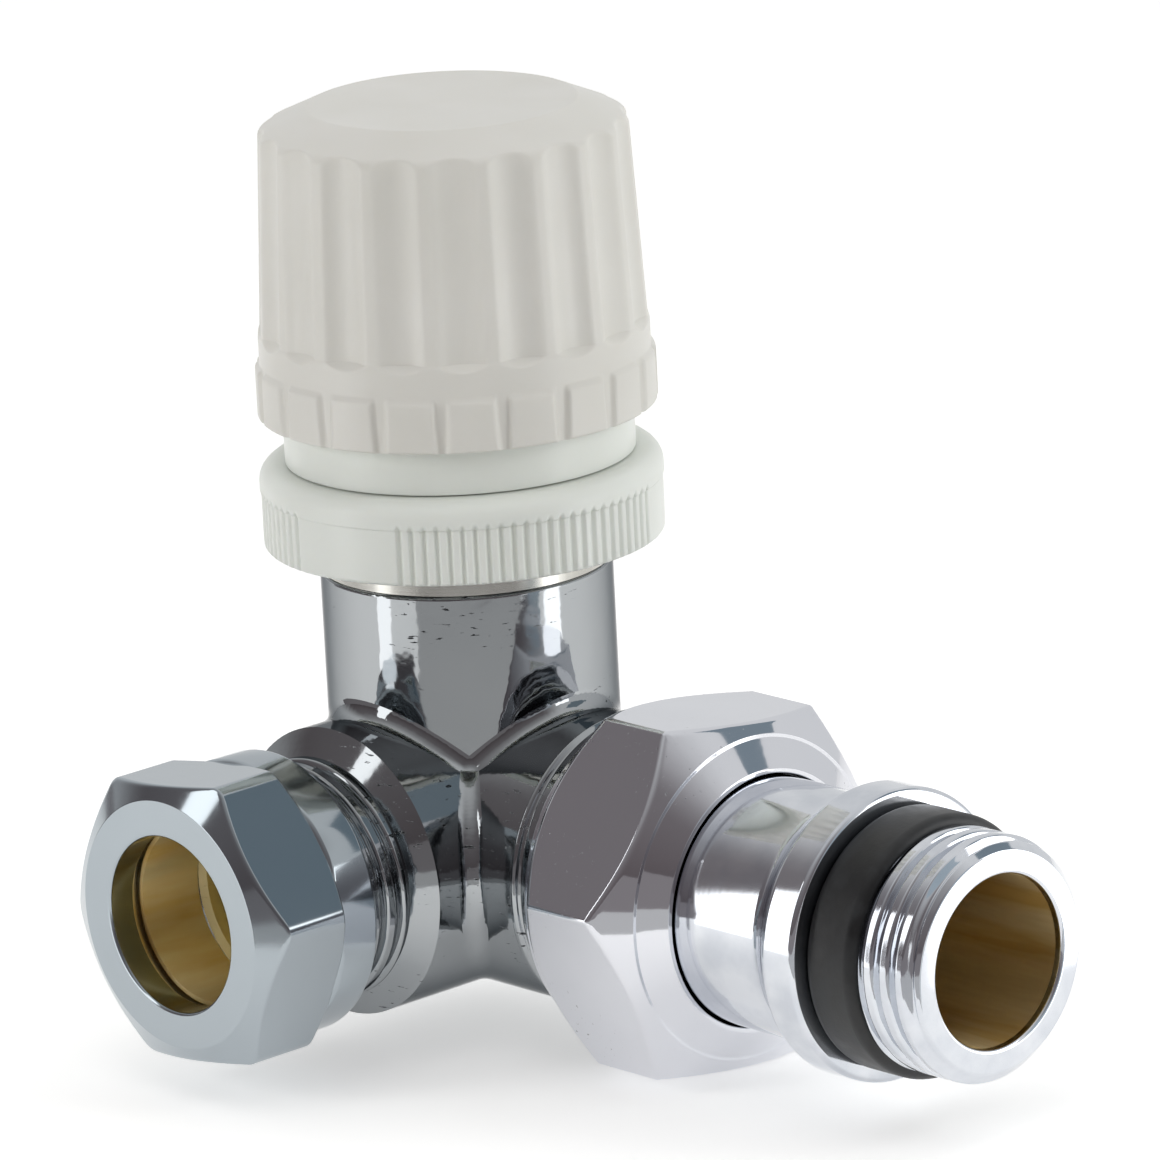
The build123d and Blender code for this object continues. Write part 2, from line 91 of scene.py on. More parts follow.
def linear(hex_colour: str) -> tuple[float, float, float, float]:
    """Turn an sRGB hex colour into the linear colour that a shader takes.

    Args:
        hex_colour: Colour written as "#RRGGBB".

    Returns:
        Linear red, green, blue and an alpha of one.
    """
    channels = [int(hex_colour[place : place + 2], 16) / 255 for place in (1, 3, 5)]
    red, green, blue = [c / 12.92 if c <= 0.04045 else ((c + 0.055) / 1.055) ** 2.4 for c in channels]
    return red, green, blue, 1.0


def add_node(
    tree: bpy.types.NodeTree,
    kind: str,
    settings: Mapping[str, Any] | None = None,
    inputs: Mapping[str | int, Any] | None = None,
) -> bpy.types.Node:
    """Add one node with its settings, and set or link its inputs.

    Args:
        tree: Node tree that gets the node.
        kind: Blender's type name of the node.
        settings: Attributes of the node.
        inputs: Values, or sockets to link, by input name or number.

    Returns:
        The new node.
    """
    node = tree.nodes.new(kind)
    for name, value in (settings or {}).items():
        setattr(node, name, value)
    for name, value in (inputs or {}).items():
        if isinstance(value, bpy.types.NodeSocket):
            tree.links.new(value, node.inputs[name])
        else:
            node.inputs[name].default_value = value
    return node


def bare_tree(owner: bpy.types.Material | bpy.types.World) -> bpy.types.NodeTree:
    """Switch on the nodes of a material or world, and clear them.

    Args:
        owner: Material or world.

    Returns:
        Its empty node tree.
    """
    owner.use_nodes = True
    owner.node_tree.nodes.clear()
    return owner.node_tree


def direction(azimuth: float, elevation: float = 0.0) -> Vector:
    """Point from the valve into the room.

    Args:
        azimuth: Degrees from +X towards +Y.
        elevation: Degrees above the horizon.

    Returns:
        The unit vector.
    """
    across, rise = math.radians(azimuth), math.radians(elevation)
    return Vector((math.cos(across) * math.cos(rise), math.sin(across) * math.cos(rise), math.sin(rise)))


def soft_least(first: np.ndarray, second: np.ndarray, blend: float) -> np.ndarray:
    """Take the smaller of two radii, with the edge where they meet rounded.

    Args:
        first: Radii of one surface in mm.
        second: Radii of the other surface in mm.
        blend: Difference in mm within which the two run into each other.

    Returns:
        The rounded smaller radii.
    """
    closeness = np.maximum(blend - np.abs(first - second), 0) / blend
    return np.minimum(first, second) - closeness**2 * blend / 4


def angle_from_nearest(theta: np.ndarray, count: int, phase: float) -> np.ndarray:
    """Measure how far an angle is from the nearest of some evenly spaced ones.

    Args:
        theta: Angles in radians.
        count: Number of places round the circle.
        phase: Angle of one of them in degrees.

    Returns:
        Signed differences in radians.
    """
    pitch = 2 * math.pi / count
    return (theta - math.radians(phase) + pitch / 2) % pitch - pitch / 2


class Shaft(Enum):
    """The valve's three axes: the direction along each, and the side where its angles start."""

    HEAD = ((0, 0, 1), (1, 0, 0))
    TAIL = ((1, 0, 0), (0, 0, -1))
    INLET = ((0, -1, 0), (1, 0, 0))

    @property
    def along(self) -> Vector:
        """Direction of the axis."""
        return Vector(self.value[0])

    @property
    def side(self) -> Vector:
        """Direction of the angle zero."""
        return Vector(self.value[1])


class Relief(Protocol):
    """A cut or moulded pattern on a turned surface."""

    def __call__(self, theta: np.ndarray, along: np.ndarray, radius: np.ndarray) -> np.ndarray:
        """Give the radius that is left after the pattern, in mm."""


@dataclass(frozen=True)
class Corner:
    """One corner of a turned outline, with what the run after it needs.

    Attributes:
        along: Place along the axis in mm.
        radius: Radius in mm.
        rounding: Radius of the rounded corner in mm.
        step: Longest ring spacing on the run after the corner in mm, or zero for a plain run.
        band: Material slot of the run after the corner.
    """

    along: float
    radius: float
    rounding: float = 0.0
    step: float = 0.0
    band: int = 0


@dataclass
class TurnedSkin:
    """A closed skin of rings round one of the valve's axes.

    Attributes:
        name: Name of the piece.
        shaft: Axis that it is turned round.
        corners: Closed outline, walked forward outside and back inside.
        angles: Angles of the points of each ring in radians.
        relief: Pattern cut into the surface.
    """

    name: str
    shaft: Shaft
    corners: Sequence[Corner]
    angles: np.ndarray
    relief: Relief | None = None

    ARC_STEPS = 7  # points of a rounded corner
    SUPPORT = 0.05  # mm from a run's end to its first ring

    def _arc(self, index: int) -> list[np.ndarray]:
        """Points of one rounded corner.

        Args:
            index: Number of the corner.

        Returns:
            Points (along, radius) from the run before to the run after.
        """
        corner = self.corners[index]
        before = self.corners[index - 1]
        after = self.corners[(index + 1) % len(self.corners)]
        tip = np.array((corner.along, corner.radius))
        if not corner.rounding:
            return [tip]
        back = np.array((before.along, before.radius)) - tip
        on = np.array((after.along, after.radius)) - tip
        back /= np.linalg.norm(back)
        on /= np.linalg.norm(on)
        half = math.acos(float(np.clip(back @ on, -1, 1))) / 2
        inward = (back + on) / np.linalg.norm(back + on)
        middle = tip + inward * corner.rounding / math.sin(half)
        first = tip + back * corner.rounding / math.tan(half) - middle
        last = tip + on * corner.rounding / math.tan(half) - middle
        sweep = math.pi - 2 * half
        shares = np.linspace(0, 1, self.ARC_STEPS)
        weights = [(math.sin((1 - t) * sweep), math.sin(t * sweep)) for t in shares]
        return [middle + (first * start + last * end) / math.sin(sweep) for start, end in weights]

    def _run(self, start: np.ndarray, end: np.ndarray, step: float) -> list[np.ndarray]:
        """Points between two corners: support loops near the ends, and even steps where asked.

        Args:
            start: First point, which isn't repeated.
            end: Last point, which isn't repeated.
            step: Longest spacing in mm, or zero.

        Returns:
            The points between them.
        """
        length = float(np.linalg.norm(end - start))
        if length < 4 * self.SUPPORT:
            return []
        inset = self.SUPPORT / length
        count = max(2, math.ceil(length / step) + 1) if step else 2
        return [start + (end - start) * share for share in np.linspace(inset, 1 - inset, count)]

    def rings(self) -> tuple[np.ndarray, list[int]]:
        """Walk the outline.

        Returns:
            One (along, radius) row for each ring, and the material slot of the strip after it.
        """
        arcs = [self._arc(index) for index in range(len(self.corners))]
        points: list[np.ndarray] = []
        bands: list[int] = []
        for index, corner in enumerate(self.corners):
            following = arcs[(index + 1) % len(arcs)]
            walked = arcs[index] + self._run(arcs[index][-1], following[0], corner.step)
            points += walked
            bands += [corner.band] * len(walked)
        return np.array(points), bands

    def build(self, finishes: Sequence[bpy.types.Material]) -> bpy.types.Object:
        """Make the mesh and its object.

        Args:
            finishes: Materials by slot.

        Returns:
            The new object, smooth shaded.
        """
        outline, bands = self.rings()
        theta = self.angles[None, :]
        along = np.repeat(outline[:, :1], theta.shape[1], axis=1)
        radius = np.repeat(outline[:, 1:], theta.shape[1], axis=1)
        if self.relief:
            radius = self.relief(theta, along, radius)
        axis = np.array(self.shaft.along)
        side = np.array(self.shaft.side)
        other = np.cross(axis, side)
        spoke = np.cos(theta)[..., None] * side + np.sin(theta)[..., None] * other
        offsets = along[..., None] * axis + radius[..., None] * spoke
        places = np.array(ValveFrame.centre()) + MM * offsets
        ring_count, ring_size = along.shape
        ids = np.arange(ring_count * ring_size).reshape(ring_count, ring_size)
        beside = np.roll(ids, -1, axis=1)
        quads = np.stack([ids, beside, np.roll(beside, -1, axis=0), np.roll(ids, -1, axis=0)], axis=-1)
        mesh = bpy.data.meshes.new(self.name)
        mesh.from_pydata(places.reshape(-1, 3).tolist(), [], quads.reshape(-1, 4).tolist())
        for finish in finishes:
            mesh.materials.append(finish)
        mesh.polygons.foreach_set("material_index", np.repeat(np.array(bands, np.int32), ring_size))
        mesh.polygons.foreach_set("use_smooth", np.ones(ring_count * ring_size, bool))
        mesh.update()
        piece = bpy.data.objects.new(self.name, mesh)
        bpy.context.scene.collection.objects.link(piece)
        return piece


def even_angles(count: int) -> np.ndarray:
    """Angles of a ring with evenly spaced points."""
    return np.arange(count) * 2 * math.pi / count


@dataclass(frozen=True)
class HexFlats:
    """Six wrench flats, with rounded corners between them.

    Attributes:
        flats: Width across the flats in mm.
        turn: Angle of one corner in degrees.
        rounding: Radius of the corners between the flats in mm.
        edge: Rounding of the edges where the flats meet a chamfer in mm.
        start: Place along the axis where the flats start in mm.
    """

    flats: float
    turn: float
    rounding: float
    edge: float
    start: float

    RUN_OUT_SLOPE = 1.2
    CORNER_POINTS = 21
    FLAT_POINTS = 40

    @property
    def corner_span(self) -> float:
        """Half the angle that a rounded corner takes, seen from the axis, in radians."""
        beside = (self.flats / 2 - self.rounding) * math.tan(math.pi / 6)
        return math.pi / 6 - math.atan(beside / (self.flats / 2))

    def __call__(self, theta: np.ndarray, along: np.ndarray, radius: np.ndarray) -> np.ndarray:
        """Cut the flats from their start onwards."""
        swing = np.abs(angle_from_nearest(theta, 6, self.turn))
        flat = self.flats / 2 / np.cos(math.pi / 6 - swing)
        middle = (self.flats / 2 - self.rounding) / math.cos(math.pi / 6)
        reach = self.rounding**2 - (middle * np.sin(swing)) ** 2
        corner = middle * np.cos(swing) + np.sqrt(np.maximum(reach, 0))
        hexagon = np.where(swing < self.corner_span, corner, flat)
        hexagon = hexagon + np.maximum(self.start - along, 0) * self.RUN_OUT_SLOPE
        return soft_least(radius, hexagon, self.edge)

    def angles(self) -> np.ndarray:
        """Ring angles that crowd at the six corners."""
        corner = np.linspace(-self.corner_span, self.corner_span, self.CORNER_POINTS)
        flat = np.linspace(self.corner_span, math.pi / 3 - self.corner_span, self.FLAT_POINTS + 2)[1:-1]
        sixth = np.concatenate([corner, flat])
        return np.concatenate([math.radians(self.turn) + side * math.pi / 3 + sixth for side in range(6)])


@dataclass(frozen=True)
class PipeThread:
    """A parallel pipe thread with rounded crests and roots.

    Attributes:
        crest: Outer radius in mm.
        depth: Height of the thread in mm.
        pitch: Rise of one turn in mm.
        start: Place along the axis where it starts in mm.
        end: Place where it runs out in mm.
    """

    crest: float
    depth: float
    pitch: float
    start: float
    end: float

    ROOT_SHARE = 0.34
    FLANK_STEEPNESS = 1.9
    RUN_OUT_SLOPE = 0.8
    EDGE = 0.12

    def __call__(self, theta: np.ndarray, along: np.ndarray, radius: np.ndarray) -> np.ndarray:
        """Cut the helical groove."""
        turn = (along / self.pitch - theta / (2 * math.pi)) % 1
        flank = np.clip((np.abs(2 * turn - 1) - self.ROOT_SHARE) * self.FLANK_STEEPNESS + 0.5, 0, 1)
        profile = flank * flank * (3 - 2 * flank)
        groove = self.crest - self.depth * (1 - profile)
        outside = np.maximum(self.start - along, 0) + np.maximum(along - self.end, 0)
        return soft_least(radius, groove + outside * self.RUN_OUT_SLOPE, self.EDGE)


@dataclass(frozen=True)
class CapGrip:
    """Flutes round the hand cap's grip, and tabs that stand out from its skirt.

    Attributes:
        flutes: Number of flutes.
        flute_phase: Angle of one flute in degrees.
        flute_depth: Depth of a flute below the ridges in mm.
        flute_radius: Radius of the round that each flute is cut with in mm.
        foot: Height of the flutes' lower ends in mm.
        foot_radius: Radius of the ridges at that height in mm.
        lean: How far the grip leans in, in mm for each mm of height.
        ridge: Rounding of the ridges in mm.
        tabs: Number of tabs.
        tab_phase: Angle of the middle of one gap between tabs in degrees.
        tab_top: Height of the tabs' upper ends in mm.
        gap_width: Width of a gap at its upper end in mm.
        gap_taper: How much narrower the gap is for each mm further down.
        band_radius: Radius of the skirt between and above the tabs in mm.
    """

    flutes: int
    flute_phase: float
    flute_depth: float
    flute_radius: float
    foot: float
    foot_radius: float
    lean: float
    ridge: float
    tabs: int
    tab_phase: float
    tab_top: float
    gap_width: float
    gap_taper: float
    band_radius: float

    FOOT_SLOPE = 1.2
    BEVEL_SLOPE = 1.3
    TAB_EDGE = 0.12

    def __call__(self, theta: np.ndarray, along: np.ndarray, radius: np.ndarray) -> np.ndarray:
        """Sink the flutes into the moulding, and everything round the tabs."""
        swing = angle_from_nearest(theta, self.flutes, self.flute_phase)
        floor = self.foot_radius - self.flute_depth - self.lean * (along - self.foot)
        middle = floor + self.flute_radius
        reach = self.flute_radius**2 - (middle * np.sin(swing)) ** 2
        scoop = middle * np.cos(swing) - np.sqrt(np.maximum(reach, 0))
        scoop = scoop + np.maximum(self.foot - along, 0) * self.FOOT_SLOPE
        grip = soft_least(radius, scoop, self.ridge)
        swing = angle_from_nearest(theta, self.tabs, self.tab_phase)
        below_top = np.maximum(self.tab_top - along, 0)
        half = self.gap_width / 2 - self.gap_taper * below_top
        past_side = np.maximum(np.abs(swing) * radius - half, 0)
        tab = self.band_radius + np.minimum(past_side, below_top) * self.BEVEL_SLOPE
        return soft_least(grip, tab, self.TAB_EDGE)


@dataclass(frozen=True)
class RingKnurl:
    """Fine upright grooves round the lock ring, in sectors with smooth stretches between them.

    Attributes:
        sectors: Number of ribbed stretches.
        smooth_angle: Width of a smooth stretch in degrees.
        smooth_centre: Angle of the middle of one smooth stretch in degrees.
        pitch_angle: Angle from groove to groove in degrees.
        groove: Half width of a groove in mm.
        depth: Depth of a groove in mm.
        top: Height at which the grooves run out in mm.
        radius: Outer radius of the ring in mm.
    """

    sectors: int
    smooth_angle: float
    smooth_centre: float
    pitch_angle: float
    groove: float
    depth: float
    top: float
    radius: float

    EDGE = 0.1
    RUN_OUT_SLOPE = 1.0

    def __call__(self, theta: np.ndarray, along: np.ndarray, radius: np.ndarray) -> np.ndarray:
        """Sink the grooves into the ring's outside."""
        sector = 360 / self.sectors
        ribbed = sector - self.smooth_angle
        count = int(ribbed / self.pitch_angle)
        pitch = ribbed / count
        start = self.smooth_centre + self.smooth_angle / 2
        place = (np.degrees(theta) - start) % sector
        middle = (np.floor(place / pitch) + 0.5) * pitch
        beside = np.radians(np.abs(place - middle)) * self.radius
        beside = np.where(place < ribbed, beside, NOTHING_CUT)
        wall = (beside / self.groove) ** 2 * self.depth
        floor = self.radius - self.depth + wall + np.maximum(along - self.top, 0) * self.RUN_OUT_SLOPE
        return soft_least(radius, floor, self.EDGE)


class Finish(ABC):
    """A surface finish that makes its own node material."""

    name: str

    @abstractmethod
    def dress(self, tree: bpy.types.NodeTree, place: bpy.types.NodeSocket) -> dict[str, Any]:
        """Add the finish's nodes.

        Args:
            tree: Node tree of the material.
            place: Object coordinates.

        Returns:
            Values and sockets for the principled shader, by input name.
        """

    def material(self) -> bpy.types.Material:
        """Make the material, once for each finish.

        Returns:
            The material of this finish.
        """
        known = bpy.data.materials.get(self.name)
        if known:
            return known
        material = bpy.data.materials.new(self.name)
        tree = bare_tree(material)
        place = add_node(tree, "ShaderNodeTexCoord").outputs["Object"]
        shader = add_node(tree, "ShaderNodeBsdfPrincipled", inputs=self.dress(tree, place))
        add_node(tree, "ShaderNodeOutputMaterial", inputs={"Surface": shader.outputs["BSDF"]})
        return material


def scale_for(size_mm: float) -> float:
    """Texture scale at which one feature of a pattern is as wide as a real size.

    Args:
        size_mm: Width of a feature in mm.

    Returns:
        Features in each metre of object coordinates.
    """
    return 1 / (size_mm * MM)


@dataclass(frozen=True)
class ChromePlate(Finish):
    """Chromium plate on polished brass: a cool bright mirror that follows the metal below it.

    Attributes:
        name: Material name.
        tint: Colour of the mirror.
        haze: Colour where the polish is duller.
        roughness: Lowest and highest roughness.
        ripple_mm: Width of the waves that polishing leaves.
        ripple_height: Height of the waves in mm.
        pit_mm: Width of a casting or forging pit.
        pit_share: Noise level above which a pit opens.
        pit_stretch: How many times wider than high a pit is.
        brass_socket: Radius in mm round the inlet axis inside which the brass is bare, or zero.
        rim: Colour of the mirror where it is seen almost edge on.
    """

    name: str
    tint: str = "#ADB0B2"
    haze: str = "#A2A6A9"
    roughness: tuple[float, float] = (0.05, 0.12)
    ripple_mm: float = 2.4
    ripple_height: float = 0.02
    pit_mm: float = 0.5
    pit_share: float = 0.74
    pit_stretch: float = 1.0
    brass_socket: float = 0.0
    rim: str = "#FFFFFF"

    PATCH_RIPPLES = 5  # a hazy patch is this many ripples wide
    PIT_DEPTH = 0.05
    PIT_SLOPE = 0.04
    PIT_COLOUR = "#2A2B2D"
    SOCKET_START = 15.0

    def dress(self, tree: bpy.types.NodeTree, place: bpy.types.NodeSocket) -> dict[str, Any]:
        """Polish waves, hazy patches and small pits under the plate.

        Args:
            tree: Node tree of the material.
            place: Object coordinates.

        Returns:
            Inputs of the principled shader.
        """
        waves = add_node(
            tree,
            "ShaderNodeTexNoise",
            inputs={"Vector": place, "Scale": scale_for(self.ripple_mm), "Detail": 2.0, "Roughness": 0.45},
        ).outputs["Fac"]
        patch_scale = scale_for(self.PATCH_RIPPLES * self.ripple_mm)
        patches = add_node(
            tree, "ShaderNodeTexNoise", inputs={"Vector": place, "Scale": patch_scale, "Detail": 3.0}
        ).outputs["Fac"]
        stretched = add_node(
            tree, "ShaderNodeMapping", inputs={"Vector": place, "Scale": (1, 1, self.pit_stretch)}
        ).outputs["Vector"]
        grit = add_node(
            tree,
            "ShaderNodeTexNoise",
            inputs={"Vector": stretched, "Scale": scale_for(self.pit_mm), "Detail": 3.0, "Roughness": 0.6},
        ).outputs["Fac"]
        open_pits = add_node(
            tree,
            "ShaderNodeMapRange",
            SMOOTH_STEP,
            {"Value": grit, "From Min": self.pit_share, "From Max": self.pit_share + self.PIT_SLOPE},
        ).outputs["Result"]
        worn = add_node(
            tree, "ShaderNodeMapRange", inputs={"Value": patches, "From Min": 0.5, "From Max": 0.58}
        ).outputs["Result"]
        pits = add_node(tree, "ShaderNodeMath", MULTIPLY, {0: open_pits, 1: worn}).outputs["Value"]
        polish = add_node(
            tree,
            "ShaderNodeMix",
            COLOUR_MIX,
            {"Factor": patches, MIX_A: linear(self.tint), MIX_B: linear(self.haze)},
        ).outputs[MIX_OUT]
        colour = add_node(
            tree, "ShaderNodeMix", COLOUR_MIX, {"Factor": pits, MIX_A: polish, MIX_B: linear(self.PIT_COLOUR)}
        ).outputs[MIX_OUT]
        low, high = self.roughness
        rough = add_node(
            tree,
            "ShaderNodeMapRange",
            inputs={"Value": patches, "From Min": 0.35, "From Max": 0.7, "To Min": low, "To Max": high},
        ).outputs["Result"]
        if self.brass_socket:
            colour, rough = self._bare_socket(tree, place, colour, rough)
        rippled = add_node(
            tree,
            "ShaderNodeBump",
            inputs={"Strength": 1.0, "Distance": self.ripple_height * MM, "Height": waves},
        ).outputs["Normal"]
        pitted = add_node(
            tree,
            "ShaderNodeBump",
            {"invert": True},
            {"Strength": 1.0, "Distance": self.PIT_DEPTH * MM, "Height": pits, "Normal": rippled},
        ).outputs["Normal"]
        return {
            "Metallic": 1.0,
            "Specular Tint": linear(self.rim),
            "Base Color": colour,
            "Roughness": rough,
            "Normal": pitted,
        }

    def _bare_socket(
        self,
        tree: bpy.types.NodeTree,
        place: bpy.types.NodeSocket,
        colour: bpy.types.NodeSocket,
        rough: bpy.types.NodeSocket,
    ) -> tuple[bpy.types.NodeSocket, bpy.types.NodeSocket]:
        """Leave the brass bare inside the pipe socket, where the plating doesn't reach.

        Args:
            tree: Node tree of the material.
            place: Object coordinates.
            colour: Colour of the plate.
            rough: Roughness of the plate.

        Returns:
            Colour and roughness with the bare socket.
        """
        middle = add_node(
            tree, "ShaderNodeVectorMath", {"operation": "SUBTRACT"}, {0: place, 1: tuple(ValveFrame.centre())}
        ).outputs["Vector"]
        across = add_node(tree, "ShaderNodeVectorMath", MULTIPLY, {0: middle, 1: (1, 0, 1)}).outputs["Vector"]
        distance = add_node(
            tree, "ShaderNodeVectorMath", {"operation": "LENGTH"}, {0: across}
        ).outputs["Value"]
        near = add_node(
            tree, "ShaderNodeMath", {"operation": "LESS_THAN"}, {0: distance, 1: self.brass_socket * MM}
        ).outputs["Value"]
        deep = add_node(tree, "ShaderNodeSeparateXYZ", inputs={"Vector": middle}).outputs["Y"]
        along = add_node(
            tree, "ShaderNodeMath", {"operation": "LESS_THAN"}, {0: deep, 1: -self.SOCKET_START * MM}
        ).outputs["Value"]
        inside = add_node(tree, "ShaderNodeMath", MULTIPLY, {0: near, 1: along}).outputs["Value"]
        brass = add_node(
            tree, "ShaderNodeMix", COLOUR_MIX, {"Factor": inside, MIX_A: colour, MIX_B: linear(BRASS.tint)}
        ).outputs[MIX_OUT]
        dull = add_node(
            tree,
            "ShaderNodeMix",
            {"data_type": "FLOAT"},
            {"Factor": inside, "A": rough, "B": BRASS.roughness},
        ).outputs["Result"]
        return brass, dull


@dataclass(frozen=True)
class TurnedMetal(Finish):
    """Bare or plated metal off the lathe: fine rings round the axis spread its highlights.

    Attributes:
        name: Material name.
        tint: Colour of the metal.
        dull: Colour of its tarnished patches.
        roughness: Roughness of the surface.
        shaft: Axis that the rings go round.
        ring_mm: Spacing of the tool's rings.
        ring_height: Height of the rings in mm.
        grain: How far the rings draw highlights out along the axis, from zero to one.
    """

    name: str
    tint: str
    dull: str
    roughness: float
    shaft: Shaft
    ring_mm: float = 0.35
    ring_height: float = 0.004
    grain: float = 0.0

    RING_STRETCH = 0.02
    PATCH_MM = 4.0
    POLISHED, SCUFFED = 0.8, 1.25  # shares of the roughness
    ACROSS_RINGS = 0.25

    def dress(self, tree: bpy.types.NodeTree, place: bpy.types.NodeSocket) -> dict[str, Any]:
        """Tool rings across the axis, and patches of tarnish.

        Args:
            tree: Node tree of the material.
            place: Object coordinates.

        Returns:
            Inputs of the principled shader.
        """
        flattened = tuple(1.0 if value else self.RING_STRETCH for value in self.shaft.along)
        squeezed = add_node(
            tree, "ShaderNodeMapping", inputs={"Vector": place, "Scale": flattened}
        ).outputs["Vector"]
        rings = add_node(
            tree,
            "ShaderNodeTexNoise",
            inputs={"Vector": squeezed, "Scale": scale_for(self.ring_mm), "Detail": 4.0, "Roughness": 0.7},
        ).outputs["Fac"]
        drawn = tuple(1.0 - self.grain if value else 1.0 for value in self.shaft.along)
        streaked = add_node(
            tree, "ShaderNodeMapping", inputs={"Vector": place, "Scale": drawn}
        ).outputs["Vector"]
        patches = add_node(
            tree,
            "ShaderNodeTexNoise",
            inputs={"Vector": streaked, "Scale": scale_for(self.PATCH_MM), "Detail": 4.0},
        ).outputs["Fac"]
        tarnish = add_node(
            tree, "ShaderNodeMapRange", inputs={"Value": patches, "From Min": 0.36, "From Max": 0.64}
        ).outputs["Result"]
        colour = add_node(
            tree,
            "ShaderNodeMix",
            COLOUR_MIX,
            {"Factor": tarnish, MIX_A: linear(self.tint), MIX_B: linear(self.dull)},
        ).outputs[MIX_OUT]
        low, high = self.POLISHED * self.roughness, self.SCUFFED * self.roughness
        rough = add_node(
            tree,
            "ShaderNodeMapRange",
            inputs={"Value": patches, "From Min": 0.3, "From Max": 0.7, "To Min": low, "To Max": high},
        ).outputs["Result"]
        tooled = add_node(
            tree,
            "ShaderNodeBump",
            inputs={"Strength": 1.0, "Distance": self.ring_height * MM, "Height": rings},
        ).outputs["Normal"]
        look = {"Metallic": 1.0, "Base Color": colour, "Roughness": rough, "Normal": tooled}
        if self.grain:
            axis = "XYZ"[[bool(value) for value in self.shaft.along].index(True)]
            around = add_node(tree, "ShaderNodeTangent", {"direction_type": "RADIAL", "axis": axis})
            look["Anisotropic"] = self.grain
            look["Anisotropic Rotation"] = self.ACROSS_RINGS
            look["Tangent"] = around.outputs["Tangent"]
        return look


@dataclass(frozen=True)
class MouldedPlastic(Finish):
    """Injection moulded ABS: a faint grain and soft sheen, with a little light coming through.

    Attributes:
        name: Material name.
        tint: Colour of the plastic.
        shade: Colour of its faintly yellowed patches.
        roughness: Roughness of the moulded skin.
        grain_mm: Width of the moulding grain.
        grain_height: Height of the grain in mm.
    """

    name: str
    tint: str
    shade: str
    roughness: float = 0.38
    grain_mm: float = 0.4
    grain_height: float = 0.006

    FLOW_MM = 9.0
    GLOSSIER, DULLER = 0.04, 0.06  # taken off and put on the roughness
    SINK_MM = 1.2  # how deep light goes into the plastic

    def dress(self, tree: bpy.types.NodeTree, place: bpy.types.NodeSocket) -> dict[str, Any]:
        """Fine grain, slight flow marks and uneven sheen.

        Args:
            tree: Node tree of the material.
            place: Object coordinates.

        Returns:
            Inputs of the principled shader.
        """
        grain = add_node(
            tree,
            "ShaderNodeTexNoise",
            inputs={"Vector": place, "Scale": scale_for(self.grain_mm), "Detail": 3.0},
        ).outputs["Fac"]
        flow = add_node(
            tree,
            "ShaderNodeTexNoise",
            inputs={"Vector": place, "Scale": scale_for(self.FLOW_MM), "Detail": 2.0},
        ).outputs["Fac"]
        colour = add_node(
            tree,
            "ShaderNodeMix",
            COLOUR_MIX,
            {"Factor": flow, MIX_A: linear(self.tint), MIX_B: linear(self.shade)},
        ).outputs[MIX_OUT]
        low, high = self.roughness - self.GLOSSIER, self.roughness + self.DULLER
        rough = add_node(
            tree,
            "ShaderNodeMapRange",
            inputs={"Value": flow, "From Min": 0.3, "From Max": 0.7, "To Min": low, "To Max": high},
        ).outputs["Result"]
        grained = add_node(
            tree,
            "ShaderNodeBump",
            inputs={"Strength": 1.0, "Distance": self.grain_height * MM, "Height": grain},
        ).outputs["Normal"]
        return {
            "IOR": 1.53,
            "Subsurface Weight": 0.12,
            "Subsurface Radius": (1.0, 0.9, 0.75),
            "Subsurface Scale": self.SINK_MM * MM,
            "Base Color": colour,
            "Roughness": rough,
            "Normal": grained,
        }


@dataclass(frozen=True)
class MouldedRubber(Finish):
    """Moulded nitrile rubber: near black and satin, with a fine skin and a breath of dust.

    Attributes:
        name: Material name.
        tint: Colour of the rubber.
        dust: Colour of the dust on it.
        roughness: Roughness of its skin.
    """

    name: str
    tint: str = "#161718"
    dust: str = "#2E3032"
    roughness: float = 0.42

    SKIN_MM = 0.35
    SKIN_HEIGHT = 0.012
    PATCH_MM = 3.0
    WIPED, DUSTY = 0.08, 0.12  # taken off and put on the roughness

    def dress(self, tree: bpy.types.NodeTree, place: bpy.types.NodeSocket) -> dict[str, Any]:
        """Fine skin, with dust in uneven patches.

        Args:
            tree: Node tree of the material.
            place: Object coordinates.

        Returns:
            Inputs of the principled shader.
        """
        skin = add_node(
            tree,
            "ShaderNodeTexNoise",
            inputs={"Vector": place, "Scale": scale_for(self.SKIN_MM), "Detail": 4.0},
        ).outputs["Fac"]
        patches = add_node(
            tree,
            "ShaderNodeTexNoise",
            inputs={"Vector": place, "Scale": scale_for(self.PATCH_MM), "Detail": 5.0},
        ).outputs["Fac"]
        dusty = add_node(
            tree, "ShaderNodeMapRange", inputs={"Value": patches, "From Min": 0.45, "From Max": 0.75}
        ).outputs["Result"]
        colour = add_node(
            tree,
            "ShaderNodeMix",
            COLOUR_MIX,
            {"Factor": dusty, MIX_A: linear(self.tint), MIX_B: linear(self.dust)},
        ).outputs[MIX_OUT]
        low, high = self.roughness - self.WIPED, self.roughness + self.DUSTY
        rough = add_node(
            tree,
            "ShaderNodeMapRange",
            inputs={"Value": patches, "From Min": 0.3, "From Max": 0.7, "To Min": low, "To Max": high},
        ).outputs["Result"]
        skinned = add_node(
            tree,
            "ShaderNodeBump",
            inputs={"Strength": 1.0, "Distance": self.SKIN_HEIGHT * MM, "Height": skin},
        ).outputs["Normal"]
        return {"IOR": 1.52, "Base Color": colour, "Roughness": rough, "Normal": skinned}


